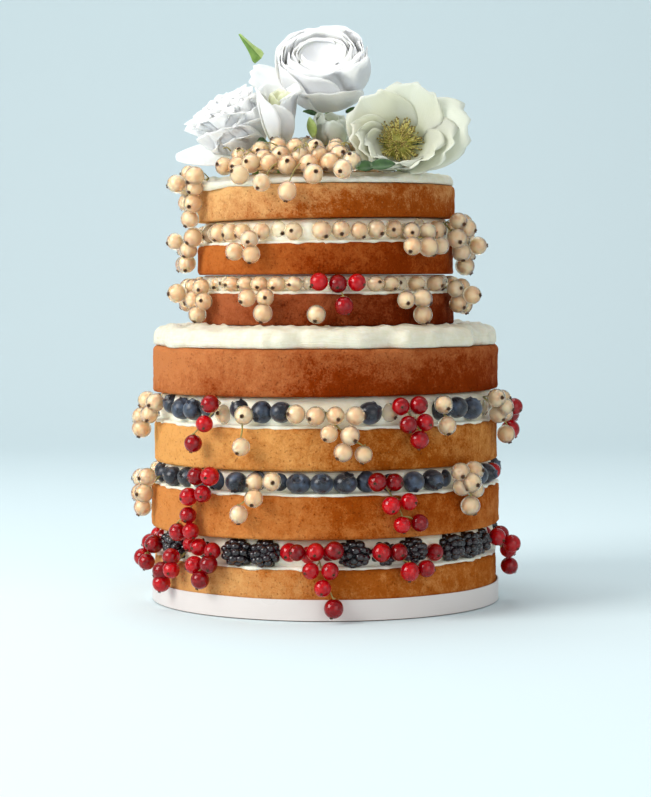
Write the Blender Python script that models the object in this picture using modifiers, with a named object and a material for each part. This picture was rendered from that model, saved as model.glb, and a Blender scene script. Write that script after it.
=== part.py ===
"""Berry wedding cake: two tiers of sponge with cream and fruit between the layers, flowers on top.

Units are metres, +Z is up and the front of the cake faces -Y. The origin is the middle of the
underside of the lowest layer. An angle round the cake is in degrees, 0 at the front and growing to +X.
"""

import math
import random

import bmesh
import bpy
from mathutils import Matrix, Vector, noise

GAP = 0.0003  # air between two pieces that touch
MERGE = 0.00005

# The tiers, an 8 inch cake under a 6 inch one.
LOWER_RADIUS = 0.1016
UPPER_RADIUS = 0.0757
ROUND_STEPS = 32
EDGE_BEVEL = 0.0020

# Heights of the joints between the pieces, from the table up.
LEVELS = {
    "layer_1": (0.0, 0.0285),
    "filling_1": (0.0285, 0.0450),
    "layer_2": (0.0450, 0.0695),
    "filling_2": (0.0695, 0.0828),
    "layer_3": (0.0828, 0.1066),
    "filling_3": (0.1066, 0.1238),
    "layer_4": (0.1238, 0.1502),
    "cream_4": (0.1502, 0.1623),
    "layer_5": (0.1623, 0.1808),
    "filling_5": (0.1808, 0.1912),
    "layer_6": (0.1912, 0.2094),
    "filling_6": (0.2094, 0.2229),
    "layer_7": (0.2229, 0.2425),
    "cream_7": (0.2425, 0.2490),
}
# Rise to the right of each joint, in metres a metre, as hand-cut layers never lie quite level.
SLOPES = {
    0.0: 0.0, 0.0285: 0.004, 0.0450: 0.010, 0.0695: 0.002, 0.0828: 0.006, 0.1066: 0.004,
    0.1238: 0.010, 0.1502: 0.004, 0.1623: 0.0, 0.1808: 0.002, 0.1912: 0.004, 0.2094: 0.016,
    0.2229: 0.018, 0.2425: 0.010, 0.2490: 0.010,
}  # fmt: skip
LAYER_RADII = {
    "layer_1": 0.1012, "layer_2": 0.1026, "layer_3": 0.1010, "layer_4": 0.1016,
    "layer_5": 0.0757, "layer_6": 0.0752, "layer_7": 0.0760,
}  # fmt: skip
LAYER_UNEVEN = 0.0005
BROWN_LAYERS = ("layer_4", "layer_5", "layer_6")

# The satin ribbon round the foot of the lowest layer.
RIBBON_BOTTOM, RIBBON_TOP = 0.0006, 0.0122
RIBBON_INSIDE, RIBBON_THICKNESS = 0.1021, 0.0006

CREAM_BEHIND_FRUIT = 0.0052  # how far the cream draws back from the rim behind a hanging bunch
CREAM_AT_RIM = 0.0016
CREAM_STEPS = 48

# Half width and height share of each fruit: red and white currants, blueberries, brambles.
FRUIT = {"r": (0.0051, 1.0), "w": (0.0054, 1.0), "u": (0.0066, 0.92), "k": (0.0088, 0.84)}
CURRANT_NAMES = {"r": "red_currant", "w": "white_currant"}
FACETED = 1.08  # a faceted berry is this much wider than the round one, for the same bulk
SIZE_SPREAD = 0.07
PROUD_OF_RIM = 0.0032  # how far a fruit pressed into the cream stands out of the cake's side
CLEAR = 0.0004

# Fruit pressed into the cream of each filling: (angle where a row starts, the fruit in it).
ROWS = {
    "filling_1": [
        (-75, "kk"), (-35.5, "kk"), (4, "k"), (25, "k"), (35, "r"), (41.5, "kk"), (63, "k"),
        (90, "kk"), (114, "rr"), (128, "kkk"), (162, "r"), (170, "kk"), (194, "rr"), (208, "kk"),
        (232, "r"), (240, "kk"), (264, "r"),
    ],
    "filling_2": [
        (-65.5, "u"), (-33.5, "u"), (-12.6, "uuu"), (26, "u"), (33.5, "u"), (58, "uu"), (74, "r"),
        (90, "uu"), (110, "ww"), (124, "uuu"), (150, "rr"), (165, "uu"), (184, "u"), (204, "uu"),
        (224, "rr"), (238, "uuu"), (264, "w"),
    ],
    "filling_3": [
        (-60, "uu"), (-25.4, "u"), (-18, "u"), (10.6, "u"), (37.6, "u"), (45.5, "uu"),
        (92, "uu"), (112, "ww"), (128, "uu"), (140, "w"), (164, "uu"), (184, "w"), (196, "uu"),
        (214, "ww"), (230, "uu"), (250, "rr"), (264, "u"),
    ],
    "filling_5": [
        (-50, "wwwww"), (18.4, "ww"), (41, "w"), (54, "w"), (84, "ww"), (106, "www"), (134, "rr"),
        (153, "www"), (180, "w"), (196, "www"), (226, "rr"), (246, "www"),
    ],
    "filling_6": [
        (-60, "www"), (-33, "w"), (-18, "w"), (-6, "wwww"), (28, "w"), (56, "w"), (88, "www"),
        (116, "wwww"), (154, "www"), (182, "ww"), (204, "wwww"), (240, "www"),
    ],
}  # fmt: skip

# Bunches hanging from the fillings. Each has its angle, the fruit, the height of its top row,
# the berries in each row downwards, the drop from row to row in millimetres, how many degrees
# each row lies to the right of the one above, and how many berries lie over the others.
BUNCHES = {
    "filling_1": [
        (-75, "r", 0.0345, (2, 2), 8.5, 0, 0), (-54, "r", 0.0320, (1, 2, 1), 8.5, -2, 0),
        (-40, "r", 0.0385, (2, 2, 1), 8.8, 0.5, 0), (-3, "r", 0.0390, (3, 2, 1, 1), 9.8, 1.5, 0),
        (20, "r", 0.0375, (2, 2), 9.5, 8, 0), (75, "r", 0.0385, (2, 1, 1), 9.2, 4, 1),
        (152, "r", 0.0380, (2, 2, 1), 9.4, -2, 0), (224, "r", 0.0380, (1, 2, 1, 1), 9.4, 2, 0),
    ],
    "filling_2": [
        (-77, "w", 0.0735, (2, 2, 1), 8.6, 1, 0), (-39, "r", 0.0790, (2, 2, 1, 2), 10.6, -2.5, 0),
        (-19, "w", 0.0775, (2, 1, 1), 9.0, -3, 0), (18.5, "r", 0.0760, (2, 2, 2), 10.8, 3.5, 0),
        (46.5, "w", 0.0800, (2, 2, 1), 8.8, 1, 1), (122, "w", 0.0770, (2, 2, 1), 9.4, 2, 0),
        (194, "r", 0.0770, (2, 2, 1, 1), 10.0, 1, 0),
    ],
    "filling_3": [
        (-73, "w", 0.1190, (2, 2, 1), 8.8, -1, 0), (-36.5, "r", 0.1190, (1, 1, 1), 10.5, -2.5, 0),
        (-28.5, "w", 0.1150, (2, 1), 17.5, 2.5, 0), (0, "w", 0.1145, (4, 2, 2), 10.6, 4, 0),
        (26, "r", 0.1180, (2, 2, 1), 8.8, 1.5, 0), (67, "w", 0.1200, (2, 2, 1), 10.0, 3, 1),
        (82, "r", 0.1180, (1, 2, 1), 8.6, -1, 1), (152, "r", 0.1170, (2, 2, 1), 9.4, 2, 0),
        (238, "w", 0.1160, (3, 2, 1), 9.4, 1, 0), (38, "w", 0.1190, (1, 1), 12.0, -1, 0),
    ],
    "filling_5": [
        (-69, "w", 0.1840, (3, 3, 1), 8.2, 4, 1), (-28, "w", 0.1790, (2, 1), 9.6, 2, 0),
        (5, "r", 0.1860, (3, 1), 12.4, 1, 0), (37, "w", 0.1775, (2, 1), 8.4, 3, 0),
        (69, "w", 0.1840, (2, 2), 9.4, 2, 1), (124, "w", 0.1830, (2, 2), 9.0, -3, 0),
        (190, "w", 0.1830, (2, 1), 9.0, 3, 0), (-3.5, "w", 0.1680, (1,), 8.0, 0, 0),
    ],
    "filling_6": [
        (-74, "w", 0.2150, (2, 2, 2), 8.4, -3, 1), (-31, "w", 0.2110, (1, 2), 7.0, -3, 0),
        (42, "w", 0.2150, (2, 3), 9.2, 2, 0), (72, "w", 0.2200, (2, 3, 2, 1), 8.6, 1, 2),
        (176, "w", 0.2150, (2, 2, 1), 8.8, 3, 0),
    ],
    "cream_7": [(-68, "w", 0.2495, (2, 2, 2, 1), 8.2, -1, 1)],
}  # fmt: skip
BUNCH_CORE = 0.0016
STEM_CORE = 0.0009
BUNCH_OUT_OF_GAP = 0.0030
BUNCH_OFF_FACE = 0.0010
BUNCH_SPACING = 0.98
BUNCH_OVER = 1.45  # how far out the berries over the others lie, in half widths

# Share of the triangles kept after the pieces are joined.
BUNCH_SHARE, FILLING_SHARE, FLOWER_SHARE = 0.475, 0.53, 0.45

# Currants heaped on the top cream. Along the front edge they lie in rows of (radius, height of
# their middles, first angle, last angle) on a bar of section (radius, height over the cream).
HEAP_ROWS = [
    (0.0676, 0.2532, -58, 13),
    (0.0605, 0.2575, -56, 12),
    (0.0550, 0.2620, -42, 8),
]
BAR_SECTION = [(0.0700, 0.0010), (0.0560, 0.0100), (0.0525, 0.0080), (0.0530, 0.0014)]
BAR_ANGLES = range(-56, 12, 11)
# Behind the bar they cover a mound, which reaches this far at each angle.
MOUND_REACH = [(-180, 0.037), (-100, 0.037), (-80, 0.027), (-28, 0.027), (-12, 0.054), (8, 0.054),
               (24, 0.026), (76, 0.026), (100, 0.037), (180, 0.037)]  # fmt: skip
MOUND_SECTION = [(0.0, 0.0125), (0.42, 0.0118), (0.76, 0.0085), (1.0, 0.0012)]
MOUND_STEPS = 13
BERRY_OVER_MOUND = 0.0038
MOUND_ROWS = [(0.97, 1.4), (0.72, 1.3), (0.42, 1.25)]
FLOWER_ROOM, STEM_ROOM = 0.0125, 0.0090
HEAP_OVER_EDGE = [(-26, 0.0815, 0.2425), (-15, 0.0817, 0.2375)]
HEAP_SPAN, HEAP_DENT = (-74, 38), 0.0032
HEAP_STEP = 1.06

PETAL_THICKNESS = 0.0010
STEM_RADIUS = 0.0022
STEM_SIDES = 6
HEART_STEPS = 9
# Each flower has a heart, a hollow cup or a dome, turned on a foot and stem, and whorls of
# petals from the outside in: count, root radius, length, half width, how far a petal leans out
# at its root and at its tip in degrees, depth of the ruffle, turn of the first petal. Its stem
# bends down under it to the foot.
FLOWERS = {
    "flower_crown": {
        "root": (0.001, 0.0154, 0.2943),
        "axis": (-0.08, -0.64, 0.76),
        "whorls": [
            (1, 0.004, 0.046, 0.013, 61, 54, 0.0010, 176),
            (5, 0.004, 0.048, 0.024, 82, -22, 0.0010, 54),
        ],
        "cup": (0.0170, 0.0330, 0.0020),
        "stem": 0.0060,
        "foot": (0.002, 0.0190, 0.2620),
    },
    "flower_ruffled": {
        "root": (-0.0440, -0.004, 0.2600),
        "axis": (-0.50, -0.30, 0.81),
        "whorls": [
            (1, 0.004, 0.038, 0.014, 43, 45, 0.0026, 196),
            (5, 0.004, 0.046, 0.020, 44, 4, 0.0032, 30),
        ],
        "cup": (0.0130, 0.0350, 0.0045),
        "stem": 0.0060,
        "foot": (-0.0415, -0.002, 0.2492),
    },
    "flower_small": {
        "root": (-0.026, -0.030, 0.2640),
        "axis": (0.0, -0.30, 1.0),
        "whorls": [(4, 0.003, 0.038, 0.014, 26, 8, 0.0014, 20)],
        "cup": (0.0080, 0.0300, 0.0020),
        "stem": 0.0060,
        "foot": (-0.026, -0.0265, 0.2494),
    },
    "flower_open": {
        "root": (0.0430, -0.038, 0.2630),
        "axis": (-0.10, -0.87, 0.40),
        "whorls": [
            (1, 0.005, 0.039, 0.026, 66, 62, 0.0018, 4),
            (1, 0.005, 0.034, 0.025, 64, 46, 0.0018, 62),
            (1, 0.005, 0.033, 0.025, 62, 36, 0.0018, 122),
            (1, 0.005, 0.0335, 0.0215, 60, 14, 0.0018, 182),
            (1, 0.004, 0.029, 0.018, 62, -4, 0.0016, 246),
            (1, 0.004, 0.031, 0.022, 62, 20, 0.0018, 306),
        ],
        "dome": (0.0125, 0.0080),
        "stem": 0.0070,
        "foot": (0.0430, -0.027, 0.2508),
    },
}
PETAL_OVERLAP = 0.0016  # one edge of a petal lies outside its neighbour and the other inside
LEAF_LENGTH, LEAF_WIDTH, LEAF_THICKNESS = 0.0195, 0.0100, 0.0010
LEAF_ROOT, LEAF_TIP = (-0.0376, -0.002, 0.3182), (-0.0504, -0.008, 0.3318)

# Base colour, roughness and metallic value of each finish.
FINISHES = {
    "sponge_pale": ((0.80, 0.50, 0.22), 0.85, 0.0),
    "sponge_brown": ((0.45, 0.17, 0.05), 0.80, 0.0),
    "cream": ((0.94, 0.90, 0.80), 0.45, 0.0),
    "red_currant": ((0.50, 0.01, 0.02), 0.15, 0.0),
    "white_currant": ((0.86, 0.62, 0.38), 0.18, 0.0),
    "petal": ((0.93, 0.93, 0.86), 0.55, 0.0),
    "leaf": ((0.20, 0.38, 0.10), 0.50, 0.0),
    "satin": ((0.90, 0.88, 0.84), 0.30, 0.0),
}


def clear_scene():
    for obj in list(bpy.data.objects):
        bpy.data.objects.remove(obj, do_unlink=True)


def finish(name):
    material = bpy.data.materials.get(name)
    if material is None:
        colour, roughness, metallic = FINISHES[name]
        material = bpy.data.materials.new(name)
        material.use_nodes = True
        shader = material.node_tree.nodes["Principled BSDF"]
        shader.inputs["Base Color"].default_value = (*colour, 1.0)
        shader.inputs["Roughness"].default_value = roughness
        shader.inputs["Metallic"].default_value = metallic
    return material


def object_from(name, mesh):
    obj = bpy.data.objects.new(name, mesh)
    bpy.context.scene.collection.objects.link(obj)
    return obj


def baked(obj):
    """The object with its modifiers made into mesh."""
    bpy.context.view_layer.update()
    graph = bpy.context.evaluated_depsgraph_get()
    mesh = bpy.data.meshes.new_from_object(obj.evaluated_get(graph))
    obj.modifiers.clear()
    obj.data = mesh
    return obj


def place_in(collection, obj, finish_name, shade_angle=35):
    """Moves a piece into the collection with its finish, shaded smooth but for its sharp edges."""
    for owner in list(obj.users_collection):
        owner.objects.unlink(obj)
    collection.objects.link(obj)
    obj.data.materials.clear()
    obj.data.materials.append(finish(finish_name))
    obj.data.shade_smooth()
    obj.data.set_sharp_from_angle(angle=math.radians(shade_angle))


def slope_at(level, x):
    return level + SLOPES[level] * x


def around(angle, radius, height):
    turn = math.radians(angle)
    return Vector((radius * math.sin(turn), -radius * math.cos(turn), height))


def angle_of(point):
    return math.degrees(math.atan2(point.x, -point.y))


def turned(name, profile, steps):
    """A solid turned from a profile that starts on the axis at the top and ends on it below."""
    mesh = bpy.data.meshes.new(name)
    edges = [(i, i + 1) for i in range(len(profile) - 1)]
    mesh.from_pydata([(radius, 0.0, height) for radius, height in profile], edges, [])
    obj = object_from(name, mesh)
    screw = obj.modifiers.new("Turn", "SCREW")
    screw.steps = steps
    screw.render_steps = steps
    screw.use_merge_vertices = True
    screw.merge_threshold = MERGE
    return baked(obj)


def disc_profile(radius, bottom, top, bevel):
    """Half the section of a disc with rounded edges, downwards."""
    return [
        (0.0, top),
        (radius - bevel, top),
        (radius, top - bevel),
        (radius, bottom + bevel),
        (radius - bevel, bottom),
        (0.0, bottom),
    ]


def faces_of(name):
    """The heights of a piece's two faces, with half the air gap left at each joint."""
    bottom, top = LEVELS[name]
    return bottom + GAP / 2 if bottom else 0.0, top - GAP / 2


def laid_in_place(obj, name):
    """Slants a disc's two faces to the joints under and over it."""
    low, high = faces_of(name)
    bottom, top = LEVELS[name]
    for vertex in obj.data.vertices:
        share = (vertex.co.z - low) / (high - low)
        lift = SLOPES[bottom] * (1 - share) + SLOPES[top] * share
        vertex.co.z += lift * vertex.co.x
    return obj


def uneven_rim(obj, radius, amount, seed):
    """Pushes the rim in and out by a slow wave."""
    for vertex in obj.data.vertices:
        flat = Vector((vertex.co.x, vertex.co.y, 0.0))
        if flat.length > radius * 0.9:
            wave = noise.noise(Vector((flat.x * 18, flat.y * 18, seed * 7.3)))
            vertex.co += flat.normalized() * amount * wave
    return obj


def make_layers(cake):
    for number, (name, radius) in enumerate(LAYER_RADII.items(), 1):
        layer = turned(name, disc_profile(radius, *faces_of(name), EDGE_BEVEL), ROUND_STEPS)
        uneven_rim(layer, radius, LAYER_UNEVEN, number)
        laid_in_place(layer, name)
        place_in(cake, layer, "sponge_brown" if name in BROWN_LAYERS else "sponge_pale")


def make_ribbon(cake):
    bpy.ops.mesh.primitive_cylinder_add(
        vertices=ROUND_STEPS,
        radius=RIBBON_INSIDE,
        depth=RIBBON_TOP - RIBBON_BOTTOM,
        end_fill_type="NOTHING",
        location=(0.0, 0.0, (RIBBON_TOP + RIBBON_BOTTOM) / 2),
    )
    ribbon = bpy.context.active_object
    ribbon.name = "ribbon"
    solidify = ribbon.modifiers.new("Thickness", "SOLIDIFY")
    solidify.thickness = RIBBON_THICKNESS
    solidify.offset = 1.0
    place_in(cake, ribbon, "satin")


def berry_sizes(kind, draw):
    half_width, share = FRUIT[kind]
    half_width *= 1 + draw.uniform(-SIZE_SPREAD, SIZE_SPREAD)
    return half_width, half_width * share


def tier_radius(name):
    return LOWER_RADIUS if name in ("filling_1", "filling_2", "filling_3") else UPPER_RADIUS


def face_radius(name):
    """The widest that the sides just under a filling reach."""
    if name == "filling_1":
        return RIBBON_INSIDE + RIBBON_THICKNESS
    return max(r for r in LAYER_RADII.values() if abs(r - tier_radius(name)) < 0.004) + LAYER_UNEVEN


def resting_radius(name, height, wide):
    """How far out a berry hangs so as to clear the cake's side and the edges of the gap."""
    gap_bottom, gap_top = LEVELS[name]
    across = wide * FACETED
    covered = max(gap_bottom - height + across, height + across - gap_top, 0.0)
    touching = math.sqrt(across**2 - max(across - covered, 0.0) ** 2)
    return max(tier_radius(name) + BUNCH_OUT_OF_GAP, face_radius(name) + touching + BUNCH_OFF_FACE)


def bunch_berries(name, bunch, seed):
    """The berries of one hanging bunch: (middle, half width, half height, kind)."""
    angle, kind, top, rows, drop, lean, over = bunch
    draw = random.Random(seed)
    lowest = LEVELS["cream_4"][1] if name == "filling_5" else 0.0
    drop *= 0.001
    berries = []

    def hang(turn, height, further):
        wide, high = berry_sizes(kind, draw)
        height += draw.uniform(-0.0012, 0.0012)
        radius = resting_radius(name, height, wide) + further * wide
        middle = around(turn, radius, height)
        middle.z += SLOPES[LEVELS[name][0]] * middle.x
        middle.z = max(middle.z, lowest + high * FACETED + CLEAR)
        berries.append((middle, wide, high, kind))

    pitch = math.degrees(2 * FRUIT[kind][0] * BUNCH_SPACING / tier_radius(name))
    for row, count in enumerate(rows):
        for i in range(count):
            sideways = (i - (count - 1) / 2) * pitch
            if count == 1 and row:
                sideways = (0.15 if row % 2 else -0.15) * pitch
            hang(angle + lean * row + sideways, top - row * drop, 0.0)
    for row in range(over):
        sideways = (0.25 if row % 2 else -0.25) * pitch
        hang(angle + lean * (row + 0.5) + sideways, top - (row + 0.5) * drop, BUNCH_OVER)
    return berries


def gap_berries(name, hanging):
    """The berries pressed into a filling's rim, leaving out those in the way of a bunch."""
    bottom, top = LEVELS[name]
    draw = random.Random(name)
    rim = tier_radius(name) + PROUD_OF_RIM
    berries = []
    for start, row in ROWS[name]:
        angle = start
        for kind in row:
            wide, high = berry_sizes(kind, draw)
            half_turn = math.degrees(wide / tier_radius(name))
            middle = around(angle + half_turn, rim - wide + draw.uniform(-0.0006, 0.0008), 0.0)
            low, roof = slope_at(bottom, middle.x), slope_at(top, middle.x)
            high = min(high, ((roof - low) / 2 - CLEAR) / FACETED)
            spare = (roof - low) / 2 - CLEAR - high * FACETED
            middle.z = (low + roof) / 2 + spare * draw.uniform(-0.9, 0.3)
            angle += 2 * half_turn
            if all(apart(middle, wide, other) for other in hanging):
                berries.append((middle, wide, high, kind))
    return berries


def apart(middle, wide, other):
    return (middle - other[0]).length > (wide + other[1]) * FACETED + CLEAR


def berry_mesh(berry):
    """A faceted berry of true size."""
    middle, wide, high, kind = berry
    mesh = bmesh.new()
    if kind == "k":
        bmesh.ops.create_uvsphere(mesh, u_segments=7, v_segments=4, radius=1.0)
    else:
        bmesh.ops.create_icosphere(mesh, subdivisions=1, radius=1.0)
    spin = Matrix.Rotation(middle.x * 911 + middle.z * 677, 4, "Z")
    size = Matrix.Diagonal((wide * FACETED, wide * FACETED, high * FACETED, 1.0))
    bmesh.ops.transform(mesh, matrix=Matrix.Translation(middle) @ size @ spin, verts=mesh.verts)
    data = bpy.data.meshes.new("berry")
    mesh.to_mesh(data)
    mesh.free()
    return data


def hull_mesh(name, knobs):
    """The convex body round a list of (point, half thickness): the core that joins a bunch."""
    mesh = bmesh.new()
    ends = (knobs[0], knobs[-1])
    for point, half in knobs:
        outwards = Vector((point.x, point.y, 0.0)).normalized() * half
        mesh.verts.new(point + outwards)
        mesh.verts.new(point - outwards)
        if (point, half) in ends:
            sideways = outwards.cross(Vector((0.0, 0.0, 1.0))) * 0.5
            mesh.verts.new(point + sideways)
            mesh.verts.new(point - sideways)
    found = bmesh.ops.convex_hull(mesh, input=mesh.verts)
    inside = set(found["geom_interior"] + found["geom_unused"])
    loose = [vertex for vertex in inside if isinstance(vertex, bmesh.types.BMVert)]
    bmesh.ops.delete(mesh, geom=loose, context="VERTS")
    bmesh.ops.recalc_face_normals(mesh, faces=mesh.faces)
    data = bpy.data.meshes.new(name)
    mesh.to_mesh(data)
    mesh.free()
    return data


def keep_one_body(data):
    """Drops loose scraps and the walls of sealed hollows, leaving the largest closed surface."""
    mesh = bmesh.new()
    mesh.from_mesh(data)
    bmesh.ops.triangulate(mesh, faces=mesh.faces)
    left = set(mesh.verts)
    bodies = []
    while left:
        body, edge_of_body = set(), [left.pop()]
        while edge_of_body:
            vertex = edge_of_body.pop()
            body.add(vertex)
            near = {edge.other_vert(vertex) for edge in vertex.link_edges} & left
            left -= near
            edge_of_body.extend(near)
        bodies.append(body)

    def reach(body):
        corners = [[vertex.co[axis] for vertex in body] for axis in range(3)]
        return math.prod(max(c) - min(c) for c in corners)

    keep = max(bodies, key=reach)
    bmesh.ops.delete(mesh, geom=[v for v in mesh.verts if v not in keep], context="VERTS")
    mesh.to_mesh(data)
    mesh.free()


def fuse(base, meshes, kept_share=1.0):
    """Joins pieces to a solid by one Boolean union, then thins out its triangles to the share."""
    pieces = bpy.data.collections.new(base.name + "_pieces")
    for data in meshes:
        pieces.objects.link(bpy.data.objects.new("piece", data))
    bpy.context.scene.collection.children.link(pieces)
    union = base.modifiers.new("Fuse", "BOOLEAN")
    union.operation = "UNION"
    union.operand_type = "COLLECTION"
    union.collection = pieces
    union.solver = "MANIFOLD"
    baked(base)
    for obj in list(pieces.objects):
        bpy.data.objects.remove(obj, do_unlink=True)
    bpy.data.collections.remove(pieces)
    keep_one_body(base.data)
    if kept_share < 1.0:
        thinner = base.modifiers.new("Fewer", "DECIMATE")
        thinner.ratio = kept_share
        thinner.use_collapse_triangulate = True
        baked(base)
    return base


def make_bunches(cake):
    """One node for each hanging bunch. Returns the berries of each filling's bunches."""
    hanging = {}
    for name, bunches in BUNCHES.items():
        for number, bunch in enumerate(bunches, 1):
            others = hanging.setdefault(name, [])
            berries = bunch_berries(name, bunch, f"{name} {number}")
            berries = [b for b in berries if all(apart(b[0], b[1], other) for other in others)]
            node = f"bunch_{name[-1]}_{number}"
            knobs = [(middle, BUNCH_CORE) for middle, _, _, _ in berries]
            root_height = min(bunch[2], LEVELS[name][1] - 0.003)
            root = around(bunch[0], tier_radius(name) + 0.0006, root_height)
            if name != "cream_7":
                knobs.append((root, STEM_CORE))
            core = object_from(node, hull_mesh(node, knobs))
            fuse(core, [berry_mesh(berry) for berry in berries], BUNCH_SHARE)
            place_in(cake, core, CURRANT_NAMES[bunch[1]], 50)
            others += berries
    return hanging


def filling_outline(name, hanging):
    """How far the cream reaches at each step round: back behind bunches, else near the rim."""
    bottom, top = LEVELS[name]
    rim = tier_radius(name)
    level_with_it = [b for b in hanging if b[0].z + b[2] > bottom - 0.003]
    for step in range(CREAM_STEPS):
        angle = 360 * step / CREAM_STEPS
        edge = around(angle, rim, (bottom + top) / 2)
        behind = any((edge - b[0]).xy.length < b[1] * 2.1 for b in level_with_it)
        wave = noise.noise(Vector((angle * 0.09, 3.1, bottom * 90)))
        yield angle, rim - (CREAM_BEHIND_FRUIT if behind else CREAM_AT_RIM + 0.0009 * (1 + wave))


def make_fillings(cake, hanging):
    for name in ROWS:
        low, high = faces_of(name)
        filling = turned(name, [(0.0, high), (1.0, high), (1.0, low), (0.0, low)], CREAM_STEPS)
        reach = {round(a) % 360: r for a, r in filling_outline(name, hanging[name])}
        for vertex in filling.data.vertices:
            if vertex.co.xy.length > 0.5:
                nearest = min(reach, key=lambda a: abs((angle_of(vertex.co) - a + 180) % 360 - 180))
                vertex.co.xy = vertex.co.xy.normalized() * reach[nearest]
        laid_in_place(filling, name)
        fuse(filling, [berry_mesh(berry) for berry in gap_berries(name, hanging[name])], FILLING_SHARE)
        place_in(cake, filling, "cream", 40)


def dent_at(angle):
    """How deep the heap of currants has sunk into the top cream."""
    first, last = HEAP_SPAN
    into = min(angle - first, last - angle) / 12
    return HEAP_DENT * min(max(into, 0.0), 1.0)


def make_spread_cream(cake, name, radius, table_radius, edge_height, seed):
    """Cream spread with a knife on top of a tier, flat as far as table_radius."""
    low, high = faces_of(name)
    profile = [
        (0.0, high),
        (table_radius, high),
        ((table_radius + radius) / 2, high - 0.0006),
        (radius - 0.0030, high - edge_height * 0.25),
        (radius, (low + high) / 2),
        (radius - 0.0015, low),
        (0.0, low),
    ]
    cream = turned(name, profile, ROUND_STEPS)
    laid_in_place(cream, name)
    for vertex in cream.data.vertices:
        flat = vertex.co.xy.length
        if flat > table_radius * 1.02:
            wave = noise.noise(Vector((vertex.co.x * 30, vertex.co.y * 30, seed)))
            vertex.co.xy *= 1 + 0.0016 * wave / flat
            if vertex.co.z > (low + 2 * high) / 3 + SLOPES[LEVELS[name][0]] * vertex.co.x:
                vertex.co.z += 0.0009 * noise.noise(vertex.co * 70) - 0.0004
                if name == "cream_7":
                    vertex.co.z -= dent_at(angle_of(vertex.co))
    place_in(cake, cream, "cream", 30)


def mixed(table, value):
    """Reads a table of (place, amount) between its entries."""
    for (first, low), (last, high) in zip(table, table[1:]):
        if first <= value <= last:
            return low + (high - low) * (value - first) / (last - first)
    return table[-1][1]


def clear_of_flowers(middle):
    for flower in FLOWERS.values():
        axis = Vector(flower["axis"]).normalized()
        root = Vector(flower["root"])
        if (root + axis * FLOWER_ROOM / 2 - middle).length < FLOWER_ROOM:
            return False
        for share in (0.0, 0.33, 0.67, 1.0):
            if (root.lerp(Vector(flower["foot"]), share) - middle).length < STEM_ROOM:
                return False
    return True


def heap_berries(hanging):
    """Currants heaped along the front of the top cream and over the mound behind them."""
    draw = random.Random("heap")
    floor = LEVELS["cream_7"][1]
    places = []

    def lay(angle, radius, height, spacing):
        wide, high = berry_sizes("w", draw)
        middle = around(angle, radius + draw.uniform(-0.0012, 0.0012), height)
        middle.z += draw.uniform(0.0, 0.0018) + SLOPES[floor] * middle.x
        places.append((middle, wide, high, "w"))
        return math.degrees(2 * wide * spacing / radius)

    for radius, height, first, last in HEAP_ROWS:
        angle = first
        while angle < last:
            angle += lay(angle, radius, height, HEAP_STEP)
    for share, spacing in MOUND_ROWS:
        angle = -175 + 20 * share
        while angle < 178:
            radius = share * mixed(MOUND_REACH, angle)
            height = floor + BERRY_OVER_MOUND + mixed(MOUND_SECTION, share)
            angle += lay(angle, radius, height, spacing)
    berries = []
    for place in places:
        near = berries if place[0].xy.length < BAR_SECTION[2][0] else []
        free = all((place[0] - other[0]).length > place[1] * 1.5 for other in near)
        if free and clear_of_flowers(place[0]) and all(apart(place[0], place[1], o) for o in hanging):
            berries.append(place)
    for angle, radius, height in HEAP_OVER_EDGE:
        wide, high = berry_sizes("w", draw)
        berries.append((around(angle, radius, height), wide, high, "w"))
    return berries


def bar_mesh(floor):
    """The curved bar under the currants at the front edge."""
    mesh = bmesh.new()
    rings = []
    for angle in BAR_ANGLES:
        rings.append([mesh.verts.new(around(angle, radius, floor + lift)) for radius, lift in BAR_SECTION])
    for near, far in zip(rings, rings[1:]):
        for i in range(len(BAR_SECTION)):
            j = (i + 1) % len(BAR_SECTION)
            mesh.faces.new((near[i], near[j], far[j], far[i]))
    mesh.faces.new(rings[0])
    mesh.faces.new(reversed(rings[-1]))
    bmesh.ops.recalc_face_normals(mesh, faces=mesh.faces)
    bmesh.ops.triangulate(mesh, faces=mesh.faces)
    data = bpy.data.meshes.new("bar")
    mesh.to_mesh(data)
    mesh.free()
    return data


def make_heap(cake, hanging):
    """The heap of currants: a mound and a bar for its core, with the currants that show fused on."""
    berries = heap_berries(hanging)
    floor = LEVELS["cream_7"][1] + CLEAR
    section = [(share, floor + lift) for share, lift in MOUND_SECTION] + [(0.0, floor + 0.0012)]
    heap = turned("heap_currants", section, MOUND_STEPS)
    for vertex in heap.data.vertices:
        if vertex.co.xy.length > 0.1:
            vertex.co.xy *= mixed(MOUND_REACH, angle_of(vertex.co))
        vertex.co.z += SLOPES[LEVELS["cream_7"][1]] * vertex.co.x
    over_edge = berries[-len(HEAP_OVER_EDGE) :]
    inner = around(-20, 0.0700, 0.2550)
    stem = hull_mesh("stem", [(b[0], STEM_CORE) for b in over_edge] + [(inner, 0.0016)])
    fuse(heap, [berry_mesh(berry) for berry in berries] + [stem, bar_mesh(floor)], BUNCH_SHARE)
    place_in(cake, heap, "white_currant", 50)


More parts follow.
